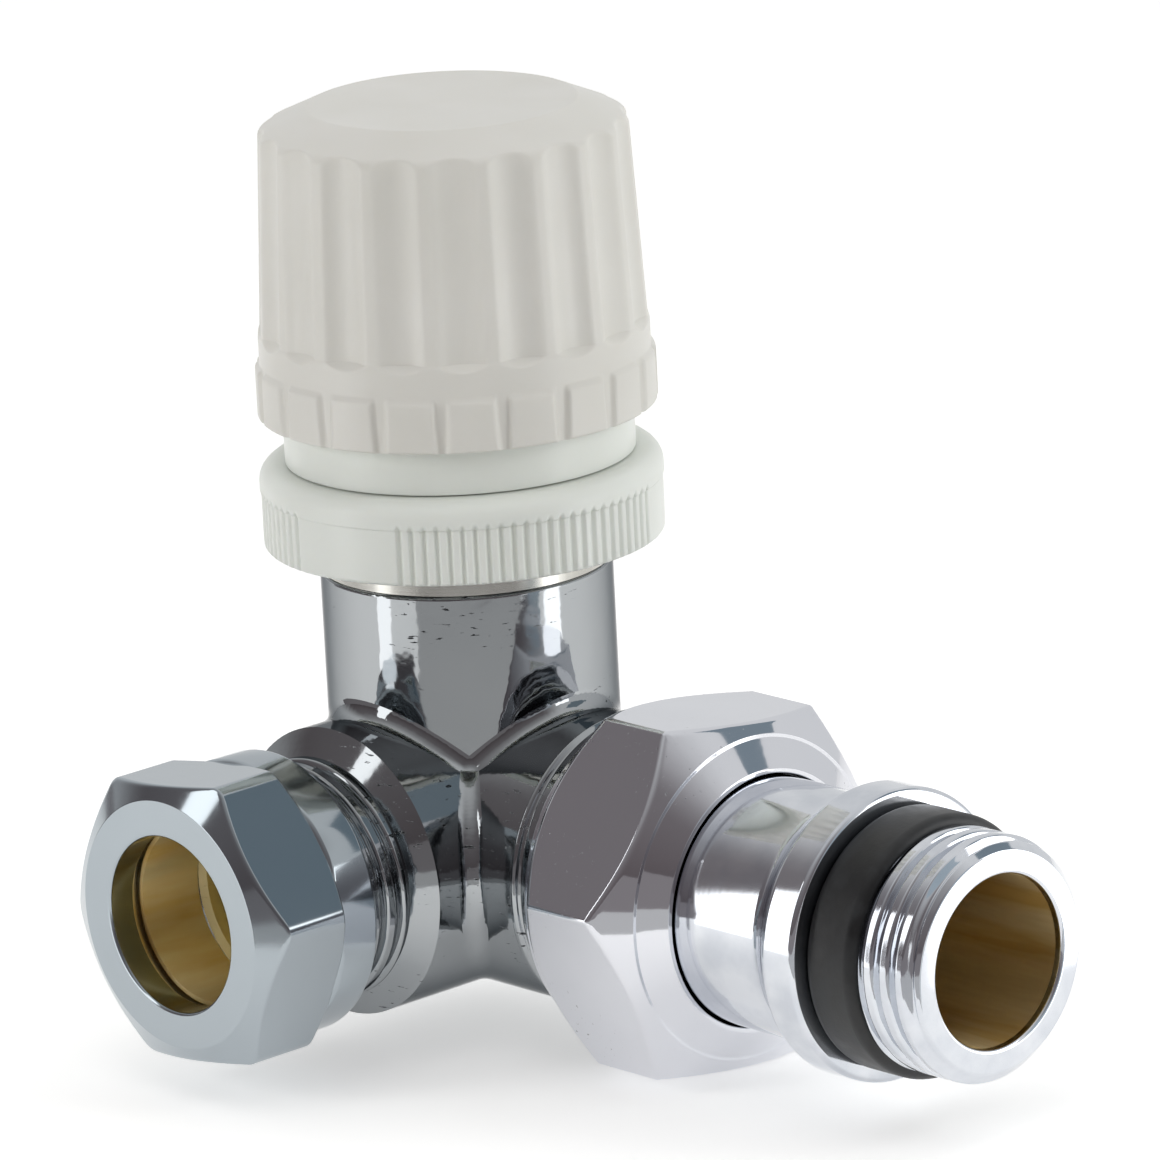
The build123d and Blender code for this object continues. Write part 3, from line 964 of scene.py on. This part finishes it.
# Chrome over a forging: a smoky mirror that waves with the hammered metal and shows short level nicks.
FORGED_CHROME = ChromePlate(
    "chrome_on_forged_brass",
    roughness=(0.04, 0.1),
    ripple_mm=2.2,
    ripple_height=0.03,
    pit_mm=1.5,
    pit_share=0.655,
    pit_stretch=5.0,
    brass_socket=8.0,
    rim="#9A9C9E",
)
# Chrome over a nut cut from bar and hardly polished: a cool satin mirror that blurs what it shows.
SATIN_CHROME = ChromePlate(
    "chrome_on_sawn_bar_nut",
    tint="#ADB5BA",
    haze="#A3ABB1",
    roughness=(0.1, 0.17),
    ripple_mm=3.5,
    ripple_height=0.012,
    pit_mm=0.35,
    pit_share=0.77,
)
# Chrome over a polished nut: a bright, almost white mirror with a few pin pricks.
BRIGHT_CHROME = ChromePlate(
    "chrome_on_polished_nut",
    tint="#E2E3E8",
    haze="#D5D7DD",
    roughness=(0.05, 0.09),
    ripple_mm=3.0,
    ripple_height=0.012,
    pit_mm=0.3,
    pit_share=0.69,
)
# Chrome over a turned tail: as bright, with highlights that faint tool rings break up.
TAIL_CHROME = TurnedMetal("chrome_on_turned_tail", "#DEE1E6", "#CFD3DA", 0.07, Shaft.TAIL, 0.5, 0.0015)
# Nickel plate: warmer and duller than the chrome beside it.
NICKEL = TurnedMetal("nickel_on_turned_bonnet", "#C9C8C2", "#B9B8B2", 0.22, Shaft.HEAD)
# Bare brass: yellow, with tool rings that draw the light out into soft streaks along the bore.
BRASS = TurnedMetal("turned_brass", "#FFF3C6", "#EBCB7C", 0.46, Shaft.INLET, 0.5, 0.006, 0.85)
TAIL_BRASS = TurnedMetal("drilled_brass", "#F8E6B6", "#BC9A58", 0.38, Shaft.TAIL, 0.5, 0.006, 0.9)
# Drawn stainless wire and bar: plain grey with a broad highlight.
STEEL = TurnedMetal("drawn_stainless_steel", "#B9BABC", "#A4A6A8", 0.2, Shaft.HEAD)
# Two batches of ABS: the cap is a warm off-white, the ring and sleeve a cooler and glossier one.
CAP_PLASTIC = MouldedPlastic("moulded_abs_cap", "#E6E5DF", "#DEDDD5")
RING_PLASTIC = MouldedPlastic("moulded_abs_ring", "#EEF2EC", "#E8ECE5", roughness=0.34)
# Nitrile rubber: black that turns dark grey where dust sits on it.
RUBBER = MouldedRubber("moulded_nitrile_rubber")


class ValveFrame:
    """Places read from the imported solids, in mm from the point where the three axes meet."""

    @staticmethod
    def centre() -> Vector:
        """Point where the axes meet, under the middle of the hand cap, in metres."""
        low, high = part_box("hand_cap")
        return Vector(((low.x + high.x) / 2, 0.0, 0.0))

    @staticmethod
    def span(node: str, shaft: Shaft) -> tuple[float, float]:
        """Start and end of a node along one axis.

        Args:
            node: Name of the CAD node.
            shaft: Axis to measure along.

        Returns:
            First and last place in mm.
        """
        corners = [(point - ValveFrame.centre()).dot(shaft.along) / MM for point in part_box(node)]
        return min(corners), max(corners)


@dataclass
class SubAssembly(ABC):
    """A group of pieces that are built and dressed together.

    Attributes:
        nodes: CAD nodes by name.
    """

    nodes: Mapping[str, bpy.types.Object]

    @abstractmethod
    def build(self) -> None:
        """Build the group's own meshes and dress its CAD nodes."""

    def dress_node(self, name: str, finish: Finish) -> None:
        """Give a CAD node its finish.

        Args:
            name: Node to dress.
            finish: Finish of all its faces.
        """
        mesh = self.nodes[name].data
        mesh.materials.clear()
        mesh.materials.append(finish.material())
        LOG.info("dressed %s with %s", name, finish.name)

    def add(self, skin: TurnedSkin, finishes: Sequence[Finish], body: str, slot: str, node: str = "") -> None:
        """Build a skin, let it ride on its body, and let it stand for a CAD node.

        Args:
            skin: Skin to build.
            finishes: Finishes by material slot of the skin.
            body: CAD body that carries it.
            slot: Name of a material slot; not used.
            node: CAD node that it stands for, if any.
        """
        piece = skin.build([finish.material() for finish in finishes])
        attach(piece, body)
        if node:
            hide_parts(node)
        LOG.info("built %s on %s with %d faces", skin.name, body, len(piece.data.polygons))


@dataclass
class ValveBody(SubAssembly):
    """The forging with its threaded stubs, bonnet, gland and spindle.

    Sizes are in mm.
    """

    pitch: float = 1.814
    inlet_start: float = 18.1
    inlet_crest: float = 10.5
    inlet_root: float = 9.75
    outlet_start: float = 17.7
    outlet_crest: float = 13.15
    outlet_root: float = 12.6
    thread_step: float = 0.12
    thread_edge: float = 0.1
    thread_sink: float = 0.3
    thread_points: int = 240
    spindle_stroke: float = 3.0
    spring_play: float = 0.15

    def build(self) -> None:
        """Dress the forging and what it holds, and cut the visible threads."""
        self.dress_node("valve_body", FORGED_CHROME)
        self.dress_node("bonnet", NICKEL)
        for name in ("gland_nut", "spring_collar", "disc_holder", "disc_nut", "olive"):
            self.dress_node(name, BRASS)
        for name in ("return_spring", "spindle", "collar_clip", "union_clip"):
            self.dress_node(name, STEEL)
        for name in ("bonnet_o_ring", "gland_o_ring", "seat_washer", "union_o_ring"):
            self.dress_node(name, RUBBER)
        self.press_spring()
        inlet_end = ValveFrame.span("compression_nut", Shaft.INLET)[0]
        outlet_end = ValveFrame.span("union_nut", Shaft.TAIL)[0]
        self.thread(
            "inlet_thread", Shaft.INLET, self.inlet_start, inlet_end, self.inlet_crest, self.inlet_root
        )
        self.thread(
            "outlet_thread", Shaft.TAIL, self.outlet_start, outlet_end, self.outlet_crest, self.outlet_root
        )

    def press_spring(self) -> None:
        """Give the return spring a mesh of its own."""
        foot, top = ValveFrame.span("return_spring", Shaft.HEAD)
        anchor = ValveFrame.centre() + Shaft.HEAD.along * foot * MM
        spring = self.nodes["return_spring"]
        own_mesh(spring)

    def thread(self, name: str, shaft: Shaft, start: float, end: float, crest: float, root: float) -> None:
        """Put the visible turns of a thread on one stub.

        Args:
            name: Name of the piece.
            shaft: Axis of the stub.
            start: Place where the visible turns start.
            end: Place where the nut covers them.
            crest: Outer radius.
            root: Radius at which they sink into the stub.
        """
        inside = root - self.thread_sink
        corners = [
            Corner(start, inside),
            Corner(start, crest, self.thread_edge, self.thread_step),
            Corner(end, crest, self.thread_edge),
            Corner(end, inside),
        ]
        relief = PipeThread(crest, crest - root, self.pitch, start, end)
        skin = TurnedSkin(name, shaft, corners, even_angles(self.thread_points), relief)
        self.add(skin, [FORGED_CHROME], "valve", "chrome_plate")


@dataclass
class CompressionJoint(SubAssembly):
    """The compression nut. Sizes are in mm."""

    flats: float = 24.0
    turn: float = 6.0
    corner_rounding: float = 1.6
    collar_radius: float = 12.3
    collar_length: float = 4.0
    back_chamfer: float = 0.9
    face_chamfer: float = 1.75
    face_radius: float = 10.8
    chamfer_reach: float = 2.2
    bore: float = 7.65
    thread_bore: float = 10.15
    land: float = 2.6
    edge: float = 0.32
    hexagon_lead: float = 0.3

    def build(self) -> None:
        """Build the nut, plated outside and bare brass inside."""
        back, face = ValveFrame.span("compression_nut", Shaft.INLET)
        hexagon = back + self.collar_length
        corner = self.flats / math.sqrt(3)
        corners = [
            Corner(back, self.thread_bore, 0.2),
            Corner(back, self.collar_radius, 0.35),
            Corner(hexagon - self.hexagon_lead, self.collar_radius, 0.0, 0.1),
            Corner(hexagon, self.collar_radius, 0.05, 0.1),
            Corner(hexagon + self.back_chamfer, corner, 0.1, 0.1),
            Corner(hexagon + self.chamfer_reach, corner, 0.0, 0.5),
            Corner(face - self.chamfer_reach, corner, 0.0, 0.1),
            Corner(face - self.face_chamfer, corner, 0.1, 0.08),
            Corner(face, self.face_radius, 0.15, 0.6),
            Corner(face, self.bore, 0.3),
            Corner(face - self.land, self.bore, 0.1, 0.0, 1),
            Corner(face - 2 * self.land, self.thread_bore, 0.1, 0.0, 1),
        ]
        relief = HexFlats(self.flats, self.turn, self.corner_rounding, self.edge, hexagon)
        skin = TurnedSkin("compression_nut_turned", Shaft.INLET, corners, relief.angles(), relief)
        self.add(skin, [SATIN_CHROME, BRASS], "pipe_nut", "chrome_plate", "compression_nut")


@dataclass
class UnionJoint(SubAssembly):
    """The union nut, the radiator tail and its thick seal. Sizes are in mm."""

    flats: float = 30.0
    turn: float = 24.5
    nut_edge: float = 0.35
    nut_corner_rounding: float = 0.5
    back_radius: float = 14.6
    back_collar: float = 0.55
    back_chamfer: float = 3.05
    back_reach: float = 0.8
    front_chamfer: float = 2.6
    front_reach: float = 1.6
    front_radius: float = 14.0
    lip_height: float = 1.45
    lip_radius: float = 13.7
    lip_crown: float = 11.3
    lip_bore: float = 10.88
    nut_bore: float = 12.7
    nut_seat: float = 6.05
    tail_bore: float = 7.36
    spigot_radius: float = 9.5
    spigot_length: float = 7.4
    shank_radius: float = 10.7
    flange_width: float = 4.55
    flange_radius: float = 12.5
    flange_fillet: float = 2.4
    flange_shoulder: float = 0.9
    flange_edge: float = 0.45
    flare: float = 1.0
    neck_radius: float = 10.2
    thread_radius: float = 10.45
    thread_depth: float = 0.85
    thread_lead: float = 0.2
    thread_slack: float = 0.02
    thread_chamfer: float = 1.1
    thread_points: int = 240
    plated_mouth: float = 0.8
    pitch: float = 1.814

    def build(self) -> None:
        """Build the nut and the tail, and dress the seal."""
        self.dress_node("tail_seal", RUBBER)
        self.union_nut()
        self.tail()

    def union_nut(self) -> None:
        """Build the large nut with its chamfered flats and sloping lip."""
        back, face = ValveFrame.span("union_nut", Shaft.TAIL)
        corner = self.flats / math.sqrt(3) + self.nut_edge
        front = face - self.lip_height
        hexagon = back + self.back_collar
        corners = [
            Corner(back, self.nut_bore, 0.2),
            Corner(back, self.back_radius, 0.2),
            Corner(hexagon, self.back_radius, 0.1, 0.12),
            Corner(hexagon + self.back_chamfer, corner, 0.2, 0.12),
            Corner(hexagon + self.back_chamfer + self.back_reach, corner, 0.0, 0.6),
            Corner(front - self.front_chamfer - self.front_reach, corner, 0.0, 0.1),
            Corner(front - self.front_chamfer, corner, 0.1, 0.1),
            Corner(front, self.front_radius, 0.12),
            Corner(front, self.lip_radius, 0.1),
            Corner(face, self.lip_crown, 0.3),
            Corner(face, self.lip_bore, 0.12),
            Corner(face - self.nut_seat, self.lip_bore, 0.1),
            Corner(face - self.nut_seat, self.nut_bore, 0.1),
        ]
        relief = HexFlats(self.flats, self.turn, self.nut_corner_rounding, self.nut_edge, hexagon)
        skin = TurnedSkin("union_nut_polished", Shaft.TAIL, corners, relief.angles(), relief)
        self.add(skin, [BRIGHT_CHROME], "large_nut", "chrome_plate", "union_nut")

    def tail(self) -> None:
        """Build the tail with its pipe thread, bare brass inside."""
        start, end = ValveFrame.span("tail_piece", Shaft.TAIL)
        seal_start, seal_end = ValveFrame.span("tail_seal", Shaft.TAIL)
        shank = start + self.spigot_length
        flange = seal_start - self.flange_width
        thread = seal_end - self.thread_lead
        corners = [
            Corner(start, self.tail_bore, 0.2),
            Corner(start, self.spigot_radius, 0.4),
            Corner(shank, self.spigot_radius, 0.2),
            Corner(shank, self.shank_radius, 0.3),
            Corner(flange - self.flare, self.shank_radius, self.flange_fillet),
            Corner(flange + self.flare, self.flange_radius, self.flange_shoulder),
            Corner(seal_start, self.flange_radius, self.flange_edge),
            Corner(seal_start, self.neck_radius, 0.1),
            Corner(thread - self.thread_lead, self.neck_radius, 0.05),
            Corner(thread, self.thread_radius, 0.05, 0.1),
            Corner(end - self.thread_chamfer, self.thread_radius, 0.25, 0.1),
            Corner(end, self.thread_radius - self.thread_chamfer, 0.25),
            Corner(end, self.tail_bore, 0.35),
            Corner(end - self.plated_mouth, self.tail_bore, 0.0, 0.0, 1),
        ]
        crest = self.thread_radius + self.thread_slack
        relief = PipeThread(crest, self.thread_depth, self.pitch, thread, end)
        angles = even_angles(self.thread_points)
        skin = TurnedSkin("tail_piece_turned", Shaft.TAIL, corners, angles, relief)
        self.add(skin, [TAIL_CHROME, TAIL_BRASS], "tail", "chrome_plate", "tail_piece")


@dataclass
class HandHead(SubAssembly):
    """The hand cap, lock ring, sleeve and pressure pin. Sizes are in mm."""

    skirt_radius: float = 17.15
    skirt_bore: float = 15.4
    band_top: float = 44.4
    tab_stand: float = 0.4
    ledge_height: float = 0.8
    ledge_radius: float = 16.65
    shoulder_height: float = 62.4
    shoulder_radius: float = 15.9
    foot_reach: float = 1.0
    shoulder_reach: float = 1.2
    draft: float = 0.05
    disc_radius: float = 11.5
    dish_depth: float = 0.25
    cavity_radius: float = 13.8
    cavity_start: float = 44.2
    cavity_end: float = 60.7
    cap_points: int = 600
    ring_radius: float = 17.35
    ring_crown: float = 1.5
    ring_lip: float = 1.9
    ring_brow: float = 2.3
    ring_step: float = 0.12
    ring_slope: float = 0.15
    groove_fade: float = 0.6
    ring_bore: float = 15.1
    ring_lip_bore: float = 13.85
    ring_points: int = 1160

    def build(self) -> None:
        """Build the two visible mouldings and dress the rest."""
        self.dress_node("head_sleeve", RING_PLASTIC)
        self.dress_node("pressure_pin", RING_PLASTIC)
        self.cap()
        self.ring()

    def cap(self) -> None:
        """Build the fluted cap with its tabbed skirt."""
        bottom, top = ValveFrame.span("hand_cap", Shaft.HEAD)
        foot = self.band_top + self.ledge_height
        corners = [
            Corner(bottom, self.skirt_bore, 0.2),
            Corner(bottom, self.skirt_radius, 0.3, 0.25),
            Corner(self.band_top, self.skirt_radius, 0.4, 0.15),
            Corner(foot, self.ledge_radius, 0.5, 0.15),
            Corner(foot + self.foot_reach, self.ledge_radius - self.draft, 0.0, 1.2),
            Corner(self.shoulder_height - self.shoulder_reach, self.shoulder_radius, 0.0, 0.2),
            Corner(self.shoulder_height, self.shoulder_radius - self.draft, 1.0, 0.3),
            Corner(top, self.disc_radius, 0.8, 3.0),
            Corner(top - self.dish_depth, 0.0),
            Corner(self.cavity_end, 0.0),
            Corner(self.cavity_end, self.cavity_radius, 0.3),
            Corner(self.cavity_start, self.cavity_radius, 0.2),
            Corner(self.cavity_start, self.skirt_bore, 0.2),
        ]
        relief = CapGrip(
            flutes=20,
            flute_phase=-3.95,
            flute_depth=0.7,
            flute_radius=3.6,
            foot=foot,
            foot_radius=self.ledge_radius,
            lean=(self.ledge_radius - self.shoulder_radius) / (self.shoulder_height - foot),
            ridge=0.25,
            tabs=20,
            tab_phase=6.9,
            tab_top=42.35,
            gap_width=1.1,
            gap_taper=0.05,
            band_radius=self.skirt_radius - self.tab_stand,
        )
        skin = TurnedSkin("hand_cap_moulded", Shaft.HEAD, corners, even_angles(self.cap_points), relief)
        self.add(skin, [CAP_PLASTIC], "cap", "cap_plastic", "hand_cap")

    def ring(self) -> None:
        """Build the part-knurled lock ring."""
        bottom, top = ValveFrame.span("lock_ring", Shaft.HEAD)
        lip = top - self.ring_lip
        brow = top - self.ring_brow
        grip = self.ring_radius - self.ring_step
        corners = [
            Corner(bottom, self.ring_bore, 0.2),
            Corner(bottom, grip, 0.35, 1.0),
            Corner(brow - self.groove_fade, grip, 0.0, 0.1),
            Corner(brow - self.ring_slope, grip, 0.05, 0.05),
            Corner(brow, self.ring_radius, 0.1, 0.3),
            Corner(top, self.ring_radius, self.ring_crown),
            Corner(top, self.ring_lip_bore, 0.2),
            Corner(lip, self.ring_lip_bore, 0.2),
            Corner(lip, self.ring_bore, 0.2),
        ]
        relief = RingKnurl(
            sectors=3,
            smooth_angle=33.0,
            smooth_centre=-79.2,
            pitch_angle=3.5,
            groove=0.28,
            depth=0.32,
            top=brow - self.ring_slope,
            radius=grip,
        )
        skin = TurnedSkin("lock_ring_moulded", Shaft.HEAD, corners, even_angles(self.ring_points), relief)
        self.add(skin, [RING_PLASTIC], "ring", "ring_plastic", "lock_ring")


@dataclass(frozen=True)
class PhotoCamera:
    """The camera of the photograph, fitted to the valve's circles. Lengths are in mm, angles in degrees."""

    image_px: float = 1160.0
    focal_px: float = 9660.03
    azimuth: float = -42.647
    elevation: float = 15.450
    roll: float = -2.9326
    shift_right: float = -8.5702
    shift_up: float = -21.2299
    distance: float = 835.636
    sensor: float = 36.0

    def build(self) -> None:
        """Place the camera and make it the scene's."""
        back = direction(self.azimuth, self.elevation)
        level = direction(self.azimuth + 90.0)
        upright = back.cross(level)
        roll = math.radians(self.roll)
        right = math.cos(roll) * level + math.sin(roll) * upright
        up = -math.sin(roll) * level + math.cos(roll) * upright
        stand = MM * (-self.shift_right * right - self.shift_up * up + self.distance * back)
        data = bpy.data.cameras.new("photo_camera")
        data.sensor_width = self.sensor
        data.lens = self.focal_px / self.image_px * self.sensor
        data.clip_start = 0.01
        camera = bpy.data.objects.new("photo_camera", data)
        rotation = Matrix((right, up, back)).transposed().to_4x4()
        camera.matrix_world = Matrix.Translation(ValveFrame.centre() + stand) @ rotation
        bpy.context.scene.collection.objects.link(camera)
        bpy.context.scene.camera = camera


@dataclass(frozen=True)
class SoftBox:
    """A studio lamp with a soft white front, which lights the valve and isn't mirrored in it.

    Attributes:
        name: Name of the lamp.
        azimuth: Direction from the valve in degrees, from +X towards +Y.
        elevation: Height of that direction in degrees.
        distance: Distance from the valve in metres.
        size: Width and height in metres.
        watts: Power.
    """

    name: str
    azimuth: float
    elevation: float
    distance: float
    size: tuple[float, float]
    watts: float

    def build(self) -> None:
        """Place the lamp so that it faces the valve."""
        out = direction(self.azimuth, self.elevation)
        data = bpy.data.lights.new(self.name, "AREA")
        data.shape = "RECTANGLE"
        data.size, data.size_y = self.size
        data.energy = self.watts
        lamp = bpy.data.objects.new(self.name, data)
        facing = out.to_track_quat("Z", "Y").to_matrix().to_4x4()
        lamp.matrix_world = Matrix.Translation(ValveFrame.centre() + out * self.distance) @ facing
        lamp.visible_glossy = False
        bpy.context.scene.collection.objects.link(lamp)


def add_stage(
    name: str, places: Sequence[Sequence[float]], faces: Sequence[Sequence[int]], material: bpy.types.Material
) -> bpy.types.Object:
    """Add a surface of the studio, which isn't part of the valve.

    Args:
        name: Name of the surface.
        places: Its corners in metres.
        faces: Corner numbers of its faces.
        material: Its material.

    Returns:
        The new object.
    """
    mesh = bpy.data.meshes.new(name)
    mesh.from_pydata(places, [], faces)
    mesh.materials.append(material)
    surface = bpy.data.objects.new(name, mesh)
    bpy.context.scene.collection.objects.link(surface)
    surface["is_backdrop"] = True
    return surface


@dataclass(frozen=True)
class PaintedReflectionCard:
    """A glowing card bent round the valve, which only reflections show: a painted reflection, bright or dark,
    that lights nothing.

    Attributes:
        name: Name of the card.
        azimuths: First and last direction in degrees, from +X towards +Y.
        foot: Distance from the head's axis and height above the floor of its lower or near edge, in metres.
        top: Distance and height of its upper or far edge.
        colour: Colour of the painted reflection that the card glows with.
        strength: Brightness of its glow, which paints the reflection.
    """

    name: str
    azimuths: tuple[float, float]
    foot: tuple[float, float]
    top: tuple[float, float]
    colour: str
    strength: float = 1.0

    STRIPS = 24

    def build(self, floor_level: float) -> None:
        """Stand the card up, glowing for mirrors only: hidden from the camera, casting no light and no
        shadow.

        Args:
            floor_level: Height of the floor in metres.
        """
        middle = ValveFrame.centre()
        places = []
        for azimuth in np.linspace(*self.azimuths, self.STRIPS + 1):
            for distance, height in (self.foot, self.top):
                out = direction(float(azimuth)) * distance
                places.append((middle.x + out.x, middle.y + out.y, floor_level + height))
        faces = [(2 * strip, 2 * strip + 2, 2 * strip + 3, 2 * strip + 1) for strip in range(self.STRIPS)]
        material = bpy.data.materials.new(self.name)
        tree = bare_tree(material)
        # Painted reflection: the card's colour glows, and only mirror rays see it.
        light = add_node(
            tree, "ShaderNodeEmission", inputs={"Color": linear(self.colour), "Strength": self.strength}
        ).outputs["Emission"]
        add_node(tree, "ShaderNodeOutputMaterial", inputs={"Surface": light})
        card = add_stage(self.name, places, faces, material)
        for ray in ("camera", "diffuse", "shadow", "transmission"):
            setattr(card, f"visible_{ray}", False)


@dataclass(frozen=True)
class Studio:
    """White paper floor, soft lamps, a pale wall behind, the dim room that the chrome mirrors, and glowing
    cards that paint reflections into the chrome.
    """

    floor_size: float = 6.0
    floor_colour: str = "#F2F2F0"
    floor_glow: float = 0.42
    wall_azimuth: float = 102.0
    wall_edge: tuple[float, float] = (-0.25, 0.3)
    wall: tuple[tuple[float, str], ...] = (
        (0.0, "#E4E5E6"),
        (0.5, "#E4E5E6"),
        (1.0, "#E6E6E6"),
    )
    room: tuple[tuple[float, str], ...] = (
        (0.0, "#5C5557"),
        (0.5, "#5C5557"),
        (0.6, "#6B6466"),
        (0.78, "#7E797B"),
        (0.9, "#A9A8A9"),
        (1.0, "#E0E0E0"),
    )
    lamps: tuple[SoftBox, ...] = (
        SoftBox("overhead_softbox", -55.0, 66.0, 0.9, (0.4, 0.4), 0.62),
        SoftBox("left_softbox", -110.0, 22.0, 0.7, (0.22, 0.24), 1.4),
        SoftBox("right_softbox", 26.0, 24.0, 0.7, (0.22, 0.34), 1.14),
    )
    # Painted reflections: cards that glow for mirror rays only. The two white ones paint bright highlights,
    # the slate ones paint dark reflections, and the grey one lying in front paints the shaded floor before
    # the valve.
    painted_reflection_cards: tuple[PaintedReflectionCard, ...] = (
        PaintedReflectionCard("left_painted_highlight_card", (-114.0, -102.0), (0.094, 0.0), (0.094, 0.1), "#FFFFFF", 2.2),
        PaintedReflectionCard("right_painted_highlight_card", (15.0, 30.0), (0.1, 0.0), (0.1, 0.06), "#FFFFFF", 2.7),
        PaintedReflectionCard("right_painted_dark_reflection_card", (2.0, 11.0), (0.1, 0.0), (0.1, 0.05), "#AAB6BE"),
        PaintedReflectionCard("front_painted_floor_shade_card", (-82.0, -2.0), (0.09, 0.001), (0.17, 0.001), "#C6C6C6"),
        PaintedReflectionCard("front_painted_dark_reflection_card", (-165.0, -2.0), (0.172, 0.0), (0.172, 0.035), "#8A8587"),
        PaintedReflectionCard("rear_painted_dark_reflection_card", (36.0, 66.0), (0.25, 0.14), (0.25, 0.3), "#828F98"),
    )

    def build(self) -> None:
        """Build floor, lamps, room and the cards that paint reflections, and choose the plain view transform.
        """
        floor_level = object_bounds()[0][2]
        self.floor(floor_level)
        self.surroundings()
        for lamp in self.lamps:
            lamp.build()
        for card in self.painted_reflection_cards:
            card.build(floor_level)
        bpy.context.scene.view_settings.view_transform = "Standard"

    def floor(self, level: float) -> None:
        """Lay a plain floor under the valve, white where a camera or mirror sees it.

        Args:
            level: Height of the floor in metres.
        """
        half = self.floor_size / 2
        places = [(-half, -half, level), (half, -half, level), (half, half, level), (-half, half, level)]
        material = bpy.data.materials.new("matt_paper_floor")
        tree = bare_tree(material)
        paper = add_node(
            tree, "ShaderNodeBsdfDiffuse", inputs={"Color": linear(self.floor_colour)}
        ).outputs["BSDF"]
        ray = add_node(tree, "ShaderNodeLightPath").outputs
        seen = ray["Is Camera Ray"]
        for kind in ("Is Glossy Ray", "Is Transmission Ray"):
            seen = add_node(
                tree, "ShaderNodeMath", {"operation": "MAXIMUM"}, {0: seen, 1: ray[kind]}
            ).outputs["Value"]
        strength = add_node(tree, "ShaderNodeMath", MULTIPLY, {0: seen, 1: self.floor_glow}).outputs["Value"]
        glow = add_node(tree, "ShaderNodeEmission", inputs={"Strength": strength}).outputs["Emission"]
        lit = add_node(tree, "ShaderNodeAddShader", inputs={0: paper, 1: glow}).outputs["Shader"]
        add_node(tree, "ShaderNodeOutputMaterial", inputs={"Surface": lit})
        add_stage("floor", places, [(0, 1, 2, 3)], material)

    def surroundings(self) -> None:
        """Make the pale wall behind the valve and the dim room in front of it."""
        world = bpy.data.worlds.new("studio_room")
        tree = bare_tree(world)
        ray = add_node(tree, "ShaderNodeTexCoord").outputs["Generated"]
        height = add_node(tree, "ShaderNodeSeparateXYZ", inputs={"Vector": ray}).outputs["Z"]
        share = add_node(
            tree, "ShaderNodeMapRange", inputs={"Value": height, "From Min": -1.0, "From Max": 1.0}
        ).outputs["Result"]
        towards = add_node(
            tree,
            "ShaderNodeVectorMath",
            {"operation": "DOT_PRODUCT"},
            {0: ray, 1: tuple(direction(self.wall_azimuth))},
        ).outputs["Value"]
        behind = add_node(
            tree,
            "ShaderNodeMapRange",
            SMOOTH_STEP,
            {"Value": towards, "From Min": self.wall_edge[0], "From Max": self.wall_edge[1]},
        ).outputs["Result"]
        front, back = self.ramp(tree, share, self.room), self.ramp(tree, share, self.wall)
        colour = add_node(
            tree, "ShaderNodeMix", COLOUR_MIX, {"Factor": behind, MIX_A: front, MIX_B: back}
        ).outputs[MIX_OUT]
        light = add_node(tree, "ShaderNodeBackground", inputs={"Color": colour}).outputs["Background"]
        add_node(tree, "ShaderNodeOutputWorld", inputs={"Surface": light})
        bpy.context.scene.world = world

    @staticmethod
    def ramp(
        tree: bpy.types.NodeTree, share: bpy.types.NodeSocket, stops: Sequence[tuple[float, str]]
    ) -> bpy.types.NodeSocket:
        """Colour a part of the room from below to above.

        Args:
            tree: Node tree of the world.
            share: Height of the direction, from zero straight down to one straight up.
            stops: Heights and colours.

        Returns:
            The colour.
        """
        ramp = add_node(tree, "ShaderNodeValToRGB", inputs={"Fac": share})
        elements = ramp.color_ramp.elements
        elements[0].position, elements[1].position = stops[0][0], stops[-1][0]
        elements[0].color, elements[1].color = linear(stops[0][1]), linear(stops[-1][1])
        for position, colour in stops[1:-1]:
            elements.new(position).color = linear(colour)
        return ramp.outputs["Color"]


def main() -> None:
    """Load the frame, dress every piece, and set up the studio."""
    logging.basicConfig(level=logging.INFO, format="%(name)s: %(message)s")
    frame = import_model()
    nodes = frame["nodes"]
    for group in (ValveBody(nodes), CompressionJoint(nodes), UnionJoint(nodes), HandHead(nodes)):
        group.build()
    PhotoCamera().build()
    Studio().build()


if __name__ == "__main__":
    main()
